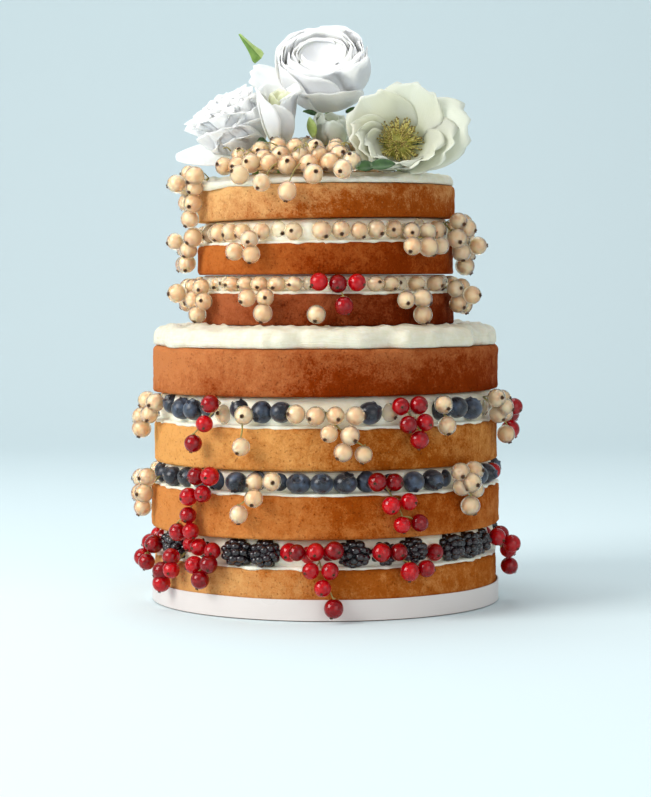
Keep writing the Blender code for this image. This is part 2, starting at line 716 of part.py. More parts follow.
def petal_mesh(whorl, index, across=3, along=3):
    """One petal as a thin wavy solid round the +Z axis, its faces split alike on both sides."""
    count, root, length, half_width, lean_root, lean_tip, ruffle, turn = whorl
    mesh = bmesh.new()
    bmesh.ops.create_grid(mesh, x_segments=across, y_segments=along, size=1.0)
    middle_turn = math.radians(turn + 360 * index / count)
    for vertex in mesh.verts:
        side, share = vertex.co.x, (vertex.co.y + 1) / 2
        out, up = root, 0.0
        pieces = 8
        for i in range(pieces):
            lean = math.radians(lean_root + (lean_tip - lean_root) * share * (i + 0.5) / pieces)
            out += math.sin(lean) * length * share / pieces
            up += math.cos(lean) * length * share / pieces
        width = half_width * (0.28 + 0.72 * math.sin(math.pi * (0.10 + share * 0.56)))
        width *= 1 - 0.22 * share**4
        up -= length * 0.15 * side * side * share
        bend = width / max(out, width * 0.75)
        out += ruffle * share * share * math.sin(2.6 * math.pi * side + index * 1.9)
        out += PETAL_OVERLAP * side * min(share * 3, 1.0)
        angle = middle_turn + side * bend
        vertex.co = Vector((out * math.cos(angle), out * math.sin(angle), up))
    bmesh.ops.triangulate(mesh, faces=mesh.faces)
    data = bpy.data.meshes.new("petal")
    mesh.to_mesh(data)
    mesh.free()
    petal = object_from("petal", data)
    solidify = petal.modifiers.new("Thickness", "SOLIDIFY")
    solidify.thickness = PETAL_THICKNESS
    solidify.offset = 0.0
    baked(petal)
    data = petal.data
    bpy.data.objects.remove(petal, do_unlink=True)
    return data


def cup_profile(radius, height, foot):
    """The section of a flower's inner cup, hollow at the top, on its foot and stem."""
    return [
        (0.0, height * 0.55),
        (radius * 0.55, height * 0.62),
        (radius * 0.80, height * 0.98),
        (radius, height),
        (radius * 0.92, height * 0.55),
        (radius * 0.45, height * 0.12),
        (STEM_RADIUS, -STEM_RADIUS * 2),
        (STEM_RADIUS, -foot),
        (0.0, -foot),
    ]


def dome_profile(radius, height, foot):
    """The section of a dome of stamens on its foot and stem."""
    return [
        (0.0, height),
        (radius * 0.7, height * 0.82),
        (radius, height * 0.30),
        (radius * 0.5, -STEM_RADIUS),
        (STEM_RADIUS, -STEM_RADIUS * 3),
        (STEM_RADIUS, -foot),
        (0.0, -foot),
    ]


def stem_mesh(start, end):
    """A straight stem between two points."""
    mesh = bmesh.new()
    along = end - start
    bmesh.ops.create_cone(
        mesh,
        cap_ends=True,
        segments=STEM_SIDES,
        radius1=STEM_RADIUS,
        radius2=STEM_RADIUS,
        depth=along.length,
    )
    turn = along.to_track_quat("Z", "Y").to_matrix().to_4x4()
    middle = Matrix.Translation((start + end) / 2)
    bmesh.ops.transform(mesh, matrix=middle @ turn, verts=mesh.verts)
    bmesh.ops.triangulate(mesh, faces=mesh.faces)
    data = bpy.data.meshes.new("stem")
    mesh.to_mesh(data)
    mesh.free()
    return data


def make_flowers(cake):
    for name, flower in FLOWERS.items():
        if "cup" in flower:
            radius, height, lobe = flower["cup"]
            heart = turned(name, cup_profile(radius, height, flower["stem"]), HEART_STEPS)
            for vertex in heart.data.vertices:
                share = max(vertex.co.z / height, 0.0)
                wave = lobe * share**3 * math.sin(3 * math.radians(angle_of(vertex.co)) + height * 999)
                vertex.co.z += wave if vertex.co.xy.length > 0.001 else 0.0
        else:
            heart = turned(name, dome_profile(*flower["dome"], flower["stem"]), HEART_STEPS)
        upright = Vector((0.0, 0.0, 1.0))
        turn = upright.rotation_difference(Vector(flower["axis"]))
        foot = turn.inverted() @ (Vector(flower["foot"]) - Vector(flower["root"]))
        petals = [stem_mesh(Vector((0.0, 0.0, STEM_RADIUS - flower["stem"])), foot)]
        for whorl in flower["whorls"]:
            petals += [petal_mesh(whorl, index) for index in range(whorl[0])]
        fuse(heart, petals, FLOWER_SHARE)
        heart.location = flower["root"]
        heart.rotation_euler = turn.to_euler()
        place_in(cake, heart, "petal", 60)


def make_leaf(cake):
    """The pointed sepal that stands out by the crown flower."""
    mesh = bmesh.new()
    bmesh.ops.create_grid(mesh, x_segments=2, y_segments=5, size=1.0)
    for vertex in mesh.verts:
        side, share = vertex.co.x, (vertex.co.y + 1) / 2
        width = LEAF_WIDTH / 2 * min(0.6 + share * 3, 1.0) * (1.04 - share) ** 0.85
        fold = 0.0022 * abs(side) * (1 - share)
        wave = 0.0012 * math.sin(share * 5.0) * side
        vertex.co = Vector((side * width, fold + wave, share * LEAF_LENGTH))
    bmesh.ops.triangulate(mesh, faces=mesh.faces)
    data = bpy.data.meshes.new("leaf_sepal")
    mesh.to_mesh(data)
    mesh.free()
    leaf = object_from("leaf_sepal", data)
    solidify = leaf.modifiers.new("Thickness", "SOLIDIFY")
    solidify.thickness = LEAF_THICKNESS
    solidify.offset = 0.0
    leaf.location = LEAF_ROOT
    leaf.rotation_euler = (Vector(LEAF_TIP) - Vector(LEAF_ROOT)).to_track_quat("Z", "X").to_euler()
    place_in(cake, leaf, "leaf", 60)


def main():
    clear_scene()
    cake = bpy.data.collections.new("berry_wedding_cake")
    bpy.context.scene.collection.children.link(cake)
    make_ribbon(cake)
    make_layers(cake)
    hanging = make_bunches(cake)
    make_fillings(cake, hanging)
    make_spread_cream(cake, "cream_4", LOWER_RADIUS - 0.0022, UPPER_RADIUS + 0.004, 0.006, 1.7)
    make_spread_cream(cake, "cream_7", UPPER_RADIUS - 0.0015, UPPER_RADIUS - 0.012, 0.003, 5.2)
    make_heap(cake, hanging["cream_7"])
    make_flowers(cake)
    make_leaf(cake)


main()
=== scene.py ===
# Berry wedding cake, dressed for its picture. Metres, +Z up, and the front faces -Y.
import math
import random

import bpy
from mathutils import Matrix, Vector, noise


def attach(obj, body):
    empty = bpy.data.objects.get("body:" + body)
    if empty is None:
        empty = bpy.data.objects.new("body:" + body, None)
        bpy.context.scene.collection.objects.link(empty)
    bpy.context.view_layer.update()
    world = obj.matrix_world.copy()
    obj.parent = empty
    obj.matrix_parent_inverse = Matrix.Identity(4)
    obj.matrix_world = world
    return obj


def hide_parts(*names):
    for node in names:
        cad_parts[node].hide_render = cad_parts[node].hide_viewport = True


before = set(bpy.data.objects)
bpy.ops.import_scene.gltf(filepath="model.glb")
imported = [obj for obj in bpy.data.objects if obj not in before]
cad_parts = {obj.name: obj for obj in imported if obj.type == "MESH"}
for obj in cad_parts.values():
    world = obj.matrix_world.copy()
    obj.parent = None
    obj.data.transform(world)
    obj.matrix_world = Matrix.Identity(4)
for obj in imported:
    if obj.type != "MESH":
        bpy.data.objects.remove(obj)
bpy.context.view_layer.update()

print("frame loaded:", len(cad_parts), "nodes")

# Heights of the joints between the pieces, as in the solids.
levels = {
    "layer_1": (0.0, 0.0285), "filling_1": (0.0285, 0.0450), "layer_2": (0.0450, 0.0695),
    "filling_2": (0.0695, 0.0828), "layer_3": (0.0828, 0.1066), "filling_3": (0.1066, 0.1238),
    "layer_4": (0.1238, 0.1502), "cream_4": (0.1502, 0.1623), "layer_5": (0.1623, 0.1808),
    "filling_5": (0.1808, 0.1912), "layer_6": (0.1912, 0.2094), "filling_6": (0.2094, 0.2229),
    "layer_7": (0.2229, 0.2425), "cream_7": (0.2425, 0.2490),
}
slopes = {
    0.0: 0.0, 0.0285: 0.004, 0.0450: 0.010, 0.0695: 0.002, 0.0828: 0.006, 0.1066: 0.004,
    0.1238: 0.010, 0.1502: 0.004, 0.1623: 0.0, 0.1808: 0.002, 0.1912: 0.004, 0.2094: 0.016,
    0.2229: 0.018, 0.2425: 0.010, 0.2490: 0.010,
}
layerRadii = {
    "layer_1": 0.1012, "layer_2": 0.1026, "layer_3": 0.1010, "layer_4": 0.1016,
    "layer_5": 0.0757, "layer_6": 0.0752, "layer_7": 0.0760,
}
lowerRadius, upperRadius = 0.1016, 0.0757
gap = 0.0003

picture = {"place": (0.0, -1.355, 0.1887), "aim": (0.0, 0.0, 0.118), "lens": 103.4}
softLights = [
    # name, place, aim, width, power, colour
    ("keyLight", (-1.40, -0.80, 0.95), (0.0, 0.0, 0.16), 1.00, 27.0, (1.0, 0.985, 0.955)),
    ("fillLight", (1.00, -1.70, 0.55), (0.0, 0.0, 0.16), 1.50, 9.0, (1.0, 0.98, 0.95)),
    ("topLight", (-0.20, 0.30, 1.50), (0.0, 0.0, 0.20), 1.20, 9.0, (0.98, 0.99, 1.0)),
]


def slopeAt(level, x):
    return level + slopes[level] * x


# How steeply a piece lies at a share of its height, between the joints below and above it.
def tiltOf(name, share):
    bottom, top = levels[name]
    return slopes[bottom] * (1 - share) + slopes[top] * share


def within(value):
    return min(max(value, 0.0), 1.0)


# Places are given by an angle from the front, a radius and a height.
def around(angle, radius, height):
    turn = math.radians(angle)
    return Vector((radius * math.sin(turn), -radius * math.cos(turn), height))


def angleOf(point):
    return math.degrees(math.atan2(point.x, -point.y))


def outwardsAt(point):
    return Vector((point.x, point.y, 0.0)).normalized()


def upwards(height):
    return Vector((0, 0, height))


def aimed(way, forward="Z", up="Y"):
    return way.to_track_quat(forward, up).to_matrix().to_4x4()


# Turns the Z axis to the one given, and puts it at its root.
def plantedAt(root, axis):
    turned = upwards(1).rotation_difference(Vector(axis)).to_matrix().to_4x4()
    return Matrix.Translation(root) @ turned


def wave(x, y, z):
    return noise.noise(Vector((x, y, z)))


def softStep(value, low, high):
    share = within((value - low) / (high - low))
    return share * share * (3 - 2 * share)


# Shader helpers.


def put(tree, kind, *settings, **inputs):
    made = tree.nodes.new(kind)
    for name, value in settings:
        setattr(made, name, value)
    for name, value in inputs.items():
        socket = made.inputs[name.replace("_", " ")]
        if isinstance(value, bpy.types.NodeSocket):
            tree.links.new(value, socket)
        else:
            socket.default_value = value
    return made


def mixed(tree, factor, first, second):
    made = tree.nodes.new("ShaderNodeMix")
    made.data_type = "RGBA"
    for place, value in ((0, factor), (6, first), (7, second)):
        if isinstance(value, bpy.types.NodeSocket):
            tree.links.new(value, made.inputs[place])
        elif place:
            made.inputs[place].default_value = (*value[:3], 1.0)
        else:
            made.inputs[place].default_value = value
    return made.outputs[2]


def maths(tree, operation, first, second=0.5, third=None):
    made = tree.nodes.new("ShaderNodeMath")
    made.operation = operation
    for place, value in enumerate((first, second, third)):
        if isinstance(value, bpy.types.NodeSocket):
            tree.links.new(value, made.inputs[place])
        elif value is not None:
            made.inputs[place].default_value = value
    return made.outputs[0]


def plus(tree, first, second):
    return maths(tree, "ADD", first, second)


def minus(tree, first, second):
    return maths(tree, "SUBTRACT", first, second)


def times(tree, first, second):
    return maths(tree, "MULTIPLY", first, second)


def spread(tree, value, low, high, outLow=0.0, outHigh=1.0):
    made = put(tree, "ShaderNodeMapRange", Value=value, From_Min=low, From_Max=high)
    made.inputs["To Min"].default_value = outLow
    made.inputs["To Max"].default_value = outHigh
    return made.outputs[0]


def placeOn(tree):
    return put(tree, "ShaderNodeTexCoord").outputs["Object"]


def mapOn(tree):
    return put(tree, "ShaderNodeSeparateXYZ", Vector=put(tree, "ShaderNodeUVMap").outputs["UV"])


def noiseAt(tree, place, scale, detail=3.0, roughness=0.55):
    made = put(tree, "ShaderNodeTexNoise", Vector=place, Scale=scale, Detail=detail, Roughness=roughness)
    return made.outputs["Fac"]


def cellsAt(tree, place, scale):
    return put(tree, "ShaderNodeTexVoronoi", Vector=place, Scale=scale, Randomness=1.0).outputs["Distance"]


def newGroup(name, inputs, outputs):
    tree = bpy.data.node_groups.new(name, "ShaderNodeTree")
    for socketName, kind, value in inputs:
        socket = tree.interface.new_socket(name=socketName, in_out="INPUT", socket_type=kind)
        socket.default_value = value
    for socketName, kind in outputs:
        tree.interface.new_socket(name=socketName, in_out="OUTPUT", socket_type=kind)
    return tree, tree.nodes.new("NodeGroupInput"), tree.nodes.new("NodeGroupOutput")


def useGroup(tree, group, **values):
    made = tree.nodes.new("ShaderNodeGroup")
    made.node_tree = group
    for name, value in values.items():
        made.inputs[name].default_value = (*value, 1.0) if isinstance(value, tuple) else value
    return made


def newMaterial(name, **sockets):
    material = bpy.data.materials.new(name)
    material.use_nodes = True
    shader = material.node_tree.nodes["Principled BSDF"]
    for socketName, value in sockets.items():
        shader.inputs[socketName.replace("_", " ")].default_value = value
    return material, material.node_tree, shader


def surfaced(tree, shader, colour, height, strength, distance, roughness=None):
    bump = put(tree, "ShaderNodeBump", Height=height, Strength=strength, Distance=distance)
    tree.links.new(bump.outputs[0], shader.inputs["Normal"])
    tree.links.new(colour, shader.inputs["Base Color"])
    if roughness is not None:
        tree.links.new(roughness, shader.inputs["Roughness"])


colourKind, numberKind = "NodeSocketColor", "NodeSocketFloat"


# Baked sponge: broad toasted patches, mottling, tiny pores darkened as painted shade, and pale crumbs.
# Toast comes also from the height in the layer, as its cut edges stay paler, and from the side:
# paler to the left and browner to the right, partly real toast, partly painted light and shade from the key
# light at the left.
crumbScales = {"mottle": 170.0, "fine": 780.0, "grit": 1500.0, "pores": 520.0, "crumbs": 390.0}
crumbLook = {
    "patches": 0.80, "mottle": 0.65, "middle": 0.745, "ragged": 0.9, "edge": (0.72, 1.12),
    # sideways: paler to the left, browner to the right, partly real toast and partly painted light and shade.
    "sideways": (-0.10, 0.01, -0.50, 0.04), "golden": (0.04, 0.58), "brown": (0.42, 0.95),
    # pores: how much the holes are darkened with painted shade.
    "pores": 0.30, "crumbs": 0.28,
}


def makeCrumbGroup():
    tree, given, out = newGroup(
        "crumb",
        [
            ("Pale", colourKind, (0.9, 0.7, 0.4, 1.0)),
            ("Golden", colourKind, (0.8, 0.5, 0.2, 1.0)),
            ("Brown", colourKind, (0.4, 0.15, 0.05, 1.0)),
            ("Toast", numberKind, 0.5),
            ("Patches", numberKind, 26.0),
            ("Edge", numberKind, 0.35),
            ("Lower", numberKind, 0.4),
            ("Speckle", numberKind, 0.44),
        ],
        [("Colour", colourKind), ("Roughness", numberKind), ("Height", numberKind)],
    )
    pale, golden, brown = (given.outputs[name] for name in ("Pale", "Golden", "Brown"))
    place = placeOn(tree)
    up = mapOn(tree).outputs["Y"]
    across = put(tree, "ShaderNodeSeparateXYZ", Vector=place).outputs["X"]
    # Painted light and shade across the cake: paler to the left, where the key light falls, and browner to
    # the right, partly real toast.
    sideways = spread(tree, across, *crumbLook["sideways"])
    fromEdge = times(tree, maths(tree, "ABSOLUTE", minus(tree, up, 0.5)), 2.0)
    patches = noiseAt(tree, place, given.outputs["Patches"], 3.0, 0.6)
    mottle = noiseAt(tree, place, crumbScales["mottle"], 3.0, 0.65)
    fine = noiseAt(tree, place, crumbScales["fine"], 2.0, 0.7)
    grit = noiseAt(tree, place, crumbScales["grit"], 1.0, 0.6)
    ragged = plus(tree, fromEdge, times(tree, minus(tree, mottle, 0.5), crumbLook["ragged"]))
    edge = spread(tree, ragged, *crumbLook["edge"])
    toast = plus(tree, times(tree, patches, crumbLook["patches"]), times(tree, mottle, crumbLook["mottle"]))
    toast = plus(tree, toast, minus(tree, given.outputs["Toast"], crumbLook["middle"]))
    toast = minus(tree, toast, times(tree, edge, given.outputs["Edge"]))
    lower = times(tree, minus(tree, 0.5, up), given.outputs["Lower"])
    toast = plus(tree, plus(tree, toast, lower), sideways)
    speckle = plus(tree, minus(tree, fine, 0.5), times(tree, minus(tree, grit, 0.5), 0.5))
    toast = plus(tree, toast, times(tree, speckle, given.outputs["Speckle"]))
    colour = mixed(tree, spread(tree, toast, *crumbLook["golden"]), pale, golden)
    colour = mixed(tree, spread(tree, toast, *crumbLook["brown"]), colour, brown)
    pores = cellsAt(tree, place, crumbScales["pores"])
    # The pores dent the bump, and their darker colour is painted shade in the holes.
    poreDentAndShade = times(tree, spread(tree, pores, 0.30, 0.12), spread(tree, fine, 0.46, 0.60))
    colour = mixed(tree, times(tree, poreDentAndShade, crumbLook["pores"]), colour, brown)
    crumbs = cellsAt(tree, place, crumbScales["crumbs"])
    crumbMask = times(tree, spread(tree, crumbs, 0.26, 0.10), spread(tree, mottle, 0.50, 0.64))
    colour = mixed(tree, times(tree, crumbMask, crumbLook["crumbs"]), colour, pale)
    tree.links.new(colour, out.inputs["Colour"])
    tree.links.new(spread(tree, mottle, 0.3, 0.7, 0.72, 0.95), out.inputs["Roughness"])
    height = plus(tree, times(tree, fine, 0.6), times(tree, mottle, 0.7))
    height = minus(tree, height, times(tree, poreDentAndShade, 0.9))
    tree.links.new(plus(tree, height, times(tree, crumbMask, 0.5)), out.inputs["Height"])
    return tree


crumbGroup = makeCrumbGroup()

sponges = {
    # name: pale, golden and brown tones, how toasted, scale of the patches, how much browner below
    "layer_1": ((0.66, 0.330, 0.115), (0.44, 0.112, 0.0110), (0.26, 0.052, 0.0040), 0.45, 30.0, -0.28),
    "layer_2": ((0.60, 0.225, 0.060), (0.35, 0.072, 0.0050), (0.22, 0.030, 0.0010), 0.46, 24.0, -0.20),
    "layer_3": ((0.70, 0.325, 0.095), (0.35, 0.086, 0.0060), (0.22, 0.036, 0.0020), 0.45, 26.0, 0.15),
    "layer_4": ((0.50, 0.170, 0.056), (0.235, 0.030, 0.0015), (0.14, 0.015, 0.0005), 0.48, 24.0, 0.50),
    "layer_5": ((0.36, 0.100, 0.036), (0.17, 0.022, 0.0025), (0.08, 0.006, 0.0005), 0.47, 28.0, 0.25),
    "layer_6": ((0.47, 0.130, 0.026), (0.235, 0.030, 0.0014), (0.16, 0.020, 0.0005), 0.46, 24.0, 0.25),
    "layer_7": ((0.72, 0.390, 0.150), (0.35, 0.072, 0.0060), (0.21, 0.034, 0.0020), 0.47, 22.0, 0.45),
}


def spongeMaterial(name):
    material, tree, shader = newMaterial(
        "sponge_" + name[-1], Subsurface_Weight=0.10, Subsurface_Scale=0.003,
        Subsurface_Radius=(1.0, 0.45, 0.15), Specular_IOR_Level=0.02,
    )
    named = zip(("Pale", "Golden", "Brown", "Toast", "Patches", "Lower"), sponges[name])
    crumb = useGroup(tree, crumbGroup, **dict(named)).outputs
    surfaced(tree, shader, crumb["Colour"], crumb["Height"], 0.75, 0.0014, crumb["Roughness"])
    return material


# Whipped cream with the long low ridges that a knife leaves round the cake.
def makeKnifeGroup():
    tree, given, out = newGroup(
        "knifeMarks",
        [("Ridges", numberKind, 260.0), ("Length", numberKind, 9.0)],
        [("Height", numberKind), ("Shade", numberKind)],
    )
    parts = mapOn(tree)
    long = times(tree, parts.outputs["X"], given.outputs["Length"])
    across = times(tree, parts.outputs["Y"], given.outputs["Ridges"])
    place = put(tree, "ShaderNodeCombineXYZ", X=long, Y=across).outputs[0]
    ridges = noiseAt(tree, place, 1.0, 2.0, 0.5)
    lumps = noiseAt(tree, placeOn(tree), 210.0, 3.0, 0.6)
    tree.links.new(plus(tree, ridges, times(tree, lumps, 0.35)), out.inputs["Height"])
    tree.links.new(lumps, out.inputs["Shade"])
    return tree


knifeGroup = makeKnifeGroup()


def creamMaterial(name, ridges, length, dark, light):
    material, tree, shader = newMaterial(
        name, Subsurface_Weight=0.35, Subsurface_Scale=0.006, Subsurface_Radius=(1.0, 0.75, 0.5)
    )
    marks = useGroup(tree, knifeGroup, Ridges=ridges, Length=length).outputs
    colour = mixed(tree, spread(tree, marks["Shade"], 0.35, 0.65), dark, light)
    roughness = spread(tree, marks["Shade"], 0.3, 0.7, 0.38, 0.52)
    surfaced(tree, shader, colour, marks["Height"], 0.5, 0.0016, roughness)
    return material


# Thin berry skin over flesh: pale meridian veins, a darker blush in clouds, and each
# berry's own tone from its tint.
def makeSkinGroup():
    tree, given, out = newGroup(
        "berrySkin",
        [
            ("Flesh", colourKind, (0.9, 0.7, 0.4, 1.0)),
            ("Ripe", colourKind, (0.8, 0.5, 0.2, 1.0)),
            ("Vein", colourKind, (1.0, 0.9, 0.6, 1.0)),
            ("Veins", numberKind, 9.0),
            ("Clear", numberKind, 0.4),
        ],
        [("Colour", colourKind), ("Height", numberKind)],
    )
    parts = mapOn(tree)
    tint = put(tree, "ShaderNodeVertexColor", ("layer_name", "tint")).outputs["Color"]
    own = put(tree, "ShaderNodeSeparateColor", Color=tint).outputs["Red"]
    turn = times(tree, parts.outputs["X"], given.outputs["Veins"])
    stripe = maths(tree, "ABSOLUTE", minus(tree, maths(tree, "FRACT", turn), 0.5))
    line = spread(tree, stripe, 0.09, 0.0)
    fromPole = maths(tree, "ABSOLUTE", minus(tree, parts.outputs["Y"], 0.5))
    line = times(tree, line, spread(tree, fromPole, 0.06, 0.30))
    place = placeOn(tree)
    cloud = noiseAt(tree, place, 190.0, 2.0, 0.5)
    ripe = plus(tree, own, times(tree, minus(tree, cloud, 0.5), 0.8))
    colour = mixed(tree, spread(tree, ripe, 0.1, 0.9), given.outputs["Flesh"], given.outputs["Ripe"])
    colour = mixed(tree, times(tree, line, given.outputs["Clear"]), colour, given.outputs["Vein"])
    tree.links.new(colour, out.inputs["Colour"])
    tree.links.new(times(tree, line, 0.4), out.inputs["Height"])
    return tree


skinGroup = makeSkinGroup()

currants = {
    "red": {
        "Flesh": (0.76, 0.004, 0.014), "Ripe": (0.34, 0.001, 0.006), "Vein": (0.95, 0.07, 0.06),
        "Clear": 0.20, "glow": 0.35, "reach": (1.0, 0.05, 0.06), "scale": 0.0040, "through": 0.65,
        "inside": ((0.20, 0.001, 0.003), (0.76, 0.006, 0.014)), "coat": 0.22, "letsIn": 0.4,
    },
    "white": {
        "Flesh": (1.0, 0.90, 0.73), "Ripe": (1.0, 0.79, 0.57), "Vein": (1.0, 1.0, 0.94),
        "Clear": 1.0, "glow": 1.0, "reach": (1.0, 0.78, 0.50), "scale": 0.0100, "through": 0.85,
        "inside": ((0.82, 0.45, 0.20), (1.0, 0.80, 0.54)), "coat": 0.40, "letsIn": 0.5,
    },
}


def currantMaterial(kind):
    look = currants[kind]
    material, tree, shader = newMaterial(
        kind + "_currant", Roughness=0.06, Coat_Weight=look["coat"], Coat_Roughness=0.03, IOR=1.36,
        Subsurface_Weight=look["glow"], Subsurface_Radius=look["reach"], Subsurface_Scale=look["scale"],
        Transmission_Weight=look["through"],
    )
    values = {name: look[name] for name in ("Flesh", "Ripe", "Vein", "Clear")}
    skin = useGroup(tree, skinGroup, **values).outputs
    surfaced(tree, shader, skin["Colour"], skin["Height"], 0.25, 0.0003)
    # Some of the light goes straight through the skin to the flesh.
    fromLight = put(tree, "ShaderNodeLightPath").outputs["Is Shadow Ray"]
    solid = maths(tree, "MULTIPLY_ADD", fromLight, -look["letsIn"], 1.0)
    tree.links.new(solid, shader.inputs["Alpha"])
    return material


# The flesh inside, with the seeds showing as darker clouds.
def fleshMaterial(kind):
    dark, light = currants[kind]["inside"]
    material, tree, shader = newMaterial(
        kind + "_flesh", Roughness=0.5, Subsurface_Weight=0.5, Subsurface_Scale=0.003,
        Subsurface_Radius=currants[kind]["reach"],
    )
    seeds = cellsAt(tree, placeOn(tree), 330.0)
    colour = mixed(tree, spread(tree, seeds, 0.15, 0.65), dark, light)
    surfaced(tree, shader, colour, seeds, 0.3, 0.0005)
    return material


# Blueberries with their waxy bloom, rubbed off in places.
def blueberryMaterial():
    material, tree, shader = newMaterial("blueberry_skin", Sheen_Weight=0.25, Sheen_Roughness=0.5)
    place = placeOn(tree)
    cloud = noiseAt(tree, place, 260.0, 4.0, 0.6)
    rubbed = noiseAt(tree, place, 95.0, 2.0, 0.5)
    bloom = times(tree, spread(tree, cloud, 0.34, 0.66), spread(tree, rubbed, 0.44, 0.62))
    colour = mixed(tree, bloom, (0.004, 0.005, 0.011), (0.075, 0.115, 0.190))
    surfaced(tree, shader, colour, cloud, 0.15, 0.0004, spread(tree, bloom, 0.0, 1.0, 0.26, 0.62))
    return material


def brambleMaterial():
    material, tree, shader = newMaterial("bramble_skin", Coat_Weight=0.5, Coat_Roughness=0.10, Roughness=0.22)
    place = placeOn(tree)
    cloud = noiseAt(tree, place, 150.0, 3.0, 0.6)
    colour = mixed(tree, spread(tree, cloud, 0.40, 0.70), (0.004, 0.004, 0.006), (0.018, 0.005, 0.010))
    surfaced(tree, shader, colour, noiseAt(tree, place, 900.0, 2.0), 0.1, 0.0002)
    return material


def plantMaterial(name, dark, light, roughness, scale, bump=0.3):
    material, tree, shader = newMaterial(name, Roughness=roughness)
    cloud = noiseAt(tree, placeOn(tree), scale, 4.0, 0.6)
    colour = mixed(tree, spread(tree, cloud, 0.32, 0.68), dark, light)
    surfaced(tree, shader, colour, cloud, bump, 0.0004)
    return material


# Petals: fine veins that fan out to the rim, greener towards the root: partly the petals' own green base,
# partly a painted warm shade tint for the shaded lower petals.
def makePetalGroup():
    tree, given, out = newGroup(
        "petalVeins",
        [
            ("Rim", colourKind, (0.97, 0.97, 0.95, 1.0)),
            ("Root", colourKind, (0.75, 0.85, 0.55, 1.0)),
            ("Veins", numberKind, 34.0),
            ("Green", numberKind, 0.35),
        ],
        [("Colour", colourKind), ("Height", numberKind)],
    )
    parts = mapOn(tree)
    place = placeOn(tree)
    drift = noiseAt(tree, place, 120.0, 3.0, 0.6)
    side = plus(tree, times(tree, parts.outputs["X"], given.outputs["Veins"]), drift)
    veins = maths(tree, "ABSOLUTE", minus(tree, maths(tree, "FRACT", side), 0.5))
    green = minus(tree, given.outputs["Green"], parts.outputs["Y"])
    green = spread(tree, plus(tree, green, times(tree, drift, 0.2)), -0.1, 0.45)
    colour = mixed(tree, green, given.outputs["Rim"], given.outputs["Root"])
    colour = mixed(tree, spread(tree, veins, 0.12, 0.0, 0.0, 0.14), colour, given.outputs["Root"])
    tree.links.new(colour, out.inputs["Colour"])
    height = plus(tree, times(tree, veins, 0.35), times(tree, drift, 0.8))
    tree.links.new(height, out.inputs["Height"])
    return tree


petalGroup = makePetalGroup()


def petalMaterial(name, rim, root, green):
    material, tree, shader = newMaterial(
        name, Roughness=0.5, Subsurface_Weight=0.7, Subsurface_Scale=0.005,
        Subsurface_Radius=(1.0, 0.95, 0.8), Sheen_Weight=0.15,
    )
    veins = useGroup(tree, petalGroup, Rim=rim, Root=root, Green=green).outputs
    surfaced(tree, shader, veins["Colour"], veins["Height"], 0.25, 0.0006)
    return material


def satinMaterial():
    material, tree, shader = newMaterial("satin_ribbon", Sheen_Weight=0.3, Anisotropic=0.5)
    parts = mapOn(tree)
    along, across = times(tree, parts.outputs["X"], 3.0), times(tree, parts.outputs["Y"], 42.0)
    threads = put(tree, "ShaderNodeCombineXYZ", X=along, Y=across).outputs[0]
    weft = noiseAt(tree, threads, 4.0, 2.0, 0.6)
    crease = noiseAt(tree, placeOn(tree), 24.0, 2.0, 0.5)
    colour = mixed(tree, weft, (0.66, 0.60, 0.575), (0.76, 0.70, 0.67))
    surfaced(tree, shader, colour, weft, 0.12, 0.0003, spread(tree, crease, 0.3, 0.7, 0.26, 0.40))
    return material


materials = {
    "red": currantMaterial("red"),
    "white": currantMaterial("white"),
    "red_flesh": fleshMaterial("red"),
    "white_flesh": fleshMaterial("white"),
    "blueberry": blueberryMaterial(),
    "bramble": brambleMaterial(),
    "calyx": plantMaterial("dry_calyx", (0.030, 0.012, 0.005), (0.115, 0.050, 0.018), 0.8, 900.0),
    "stalk": plantMaterial("currant_stalk", (0.20, 0.17, 0.040), (0.42, 0.36, 0.11), 0.5, 400.0),
    # Painted shade: the mound under the heap is coloured dark amber to stand for the shade in the gaps
    # between currants.
    "core": plantMaterial("shade_between_currants", (0.42, 0.22, 0.08), (0.62, 0.36, 0.15), 0.6, 160.0),
    # The sepal's halves are lit and shaded copies of one green, painted light and painted shade; the paler
    # green also colours one small leaf.
    "leaf": plantMaterial("sepal_green", (0.100, 0.22, 0.030), (0.25, 0.40, 0.08), 0.45, 190.0),
    "youngLeaf": plantMaterial("sepal_light_green", (0.38, 0.54, 0.13), (0.58, 0.72, 0.30), 0.45, 190.0),
    "darkLeaf": plantMaterial("foot_green", (0.020, 0.055, 0.015), (0.055, 0.13, 0.030), 0.5, 220.0),
    "stamen": plantMaterial("stamen_thread", (0.66, 0.57, 0.13), (0.88, 0.80, 0.30), 0.6, 500.0),
    "anther": plantMaterial("anther_dust", (0.075, 0.036, 0.010), (0.42, 0.33, 0.08), 0.85, 500.0),
    "heart": plantMaterial("stamen_dome", (0.26, 0.25, 0.04), (0.42, 0.40, 0.10), 0.6, 600.0, 0.8),
    "filling": creamMaterial("filling_cream", 14.0, 26.0, (0.88, 0.82, 0.63), (0.93, 0.88, 0.73)),
    "spread": creamMaterial("spread_cream", 46.0, 11.0, (0.74, 0.69, 0.52), (0.81, 0.765, 0.63)),
    # The white petal's strong yellow-green root is partly painted shade tint for the crown's shaded lower
    # petals.
    "white_petal": petalMaterial("white_petal", (0.98, 0.98, 0.965), (0.90, 0.92, 0.60), 0.30),
    "ivory_petal": petalMaterial("ivory_petal", (0.64, 0.65, 0.47), (0.42, 0.46, 0.16), 0.34),
    "green_petal": petalMaterial("green_petal", (0.72, 0.74, 0.40), (0.42, 0.46, 0.12), 0.60),
    "bud_petal": petalMaterial("bud_petal", (0.80, 0.85, 0.66), (0.52, 0.64, 0.26), 0.45),
    "satin": satinMaterial(),
}
print("materials made:", len(materials) + len(sponges))


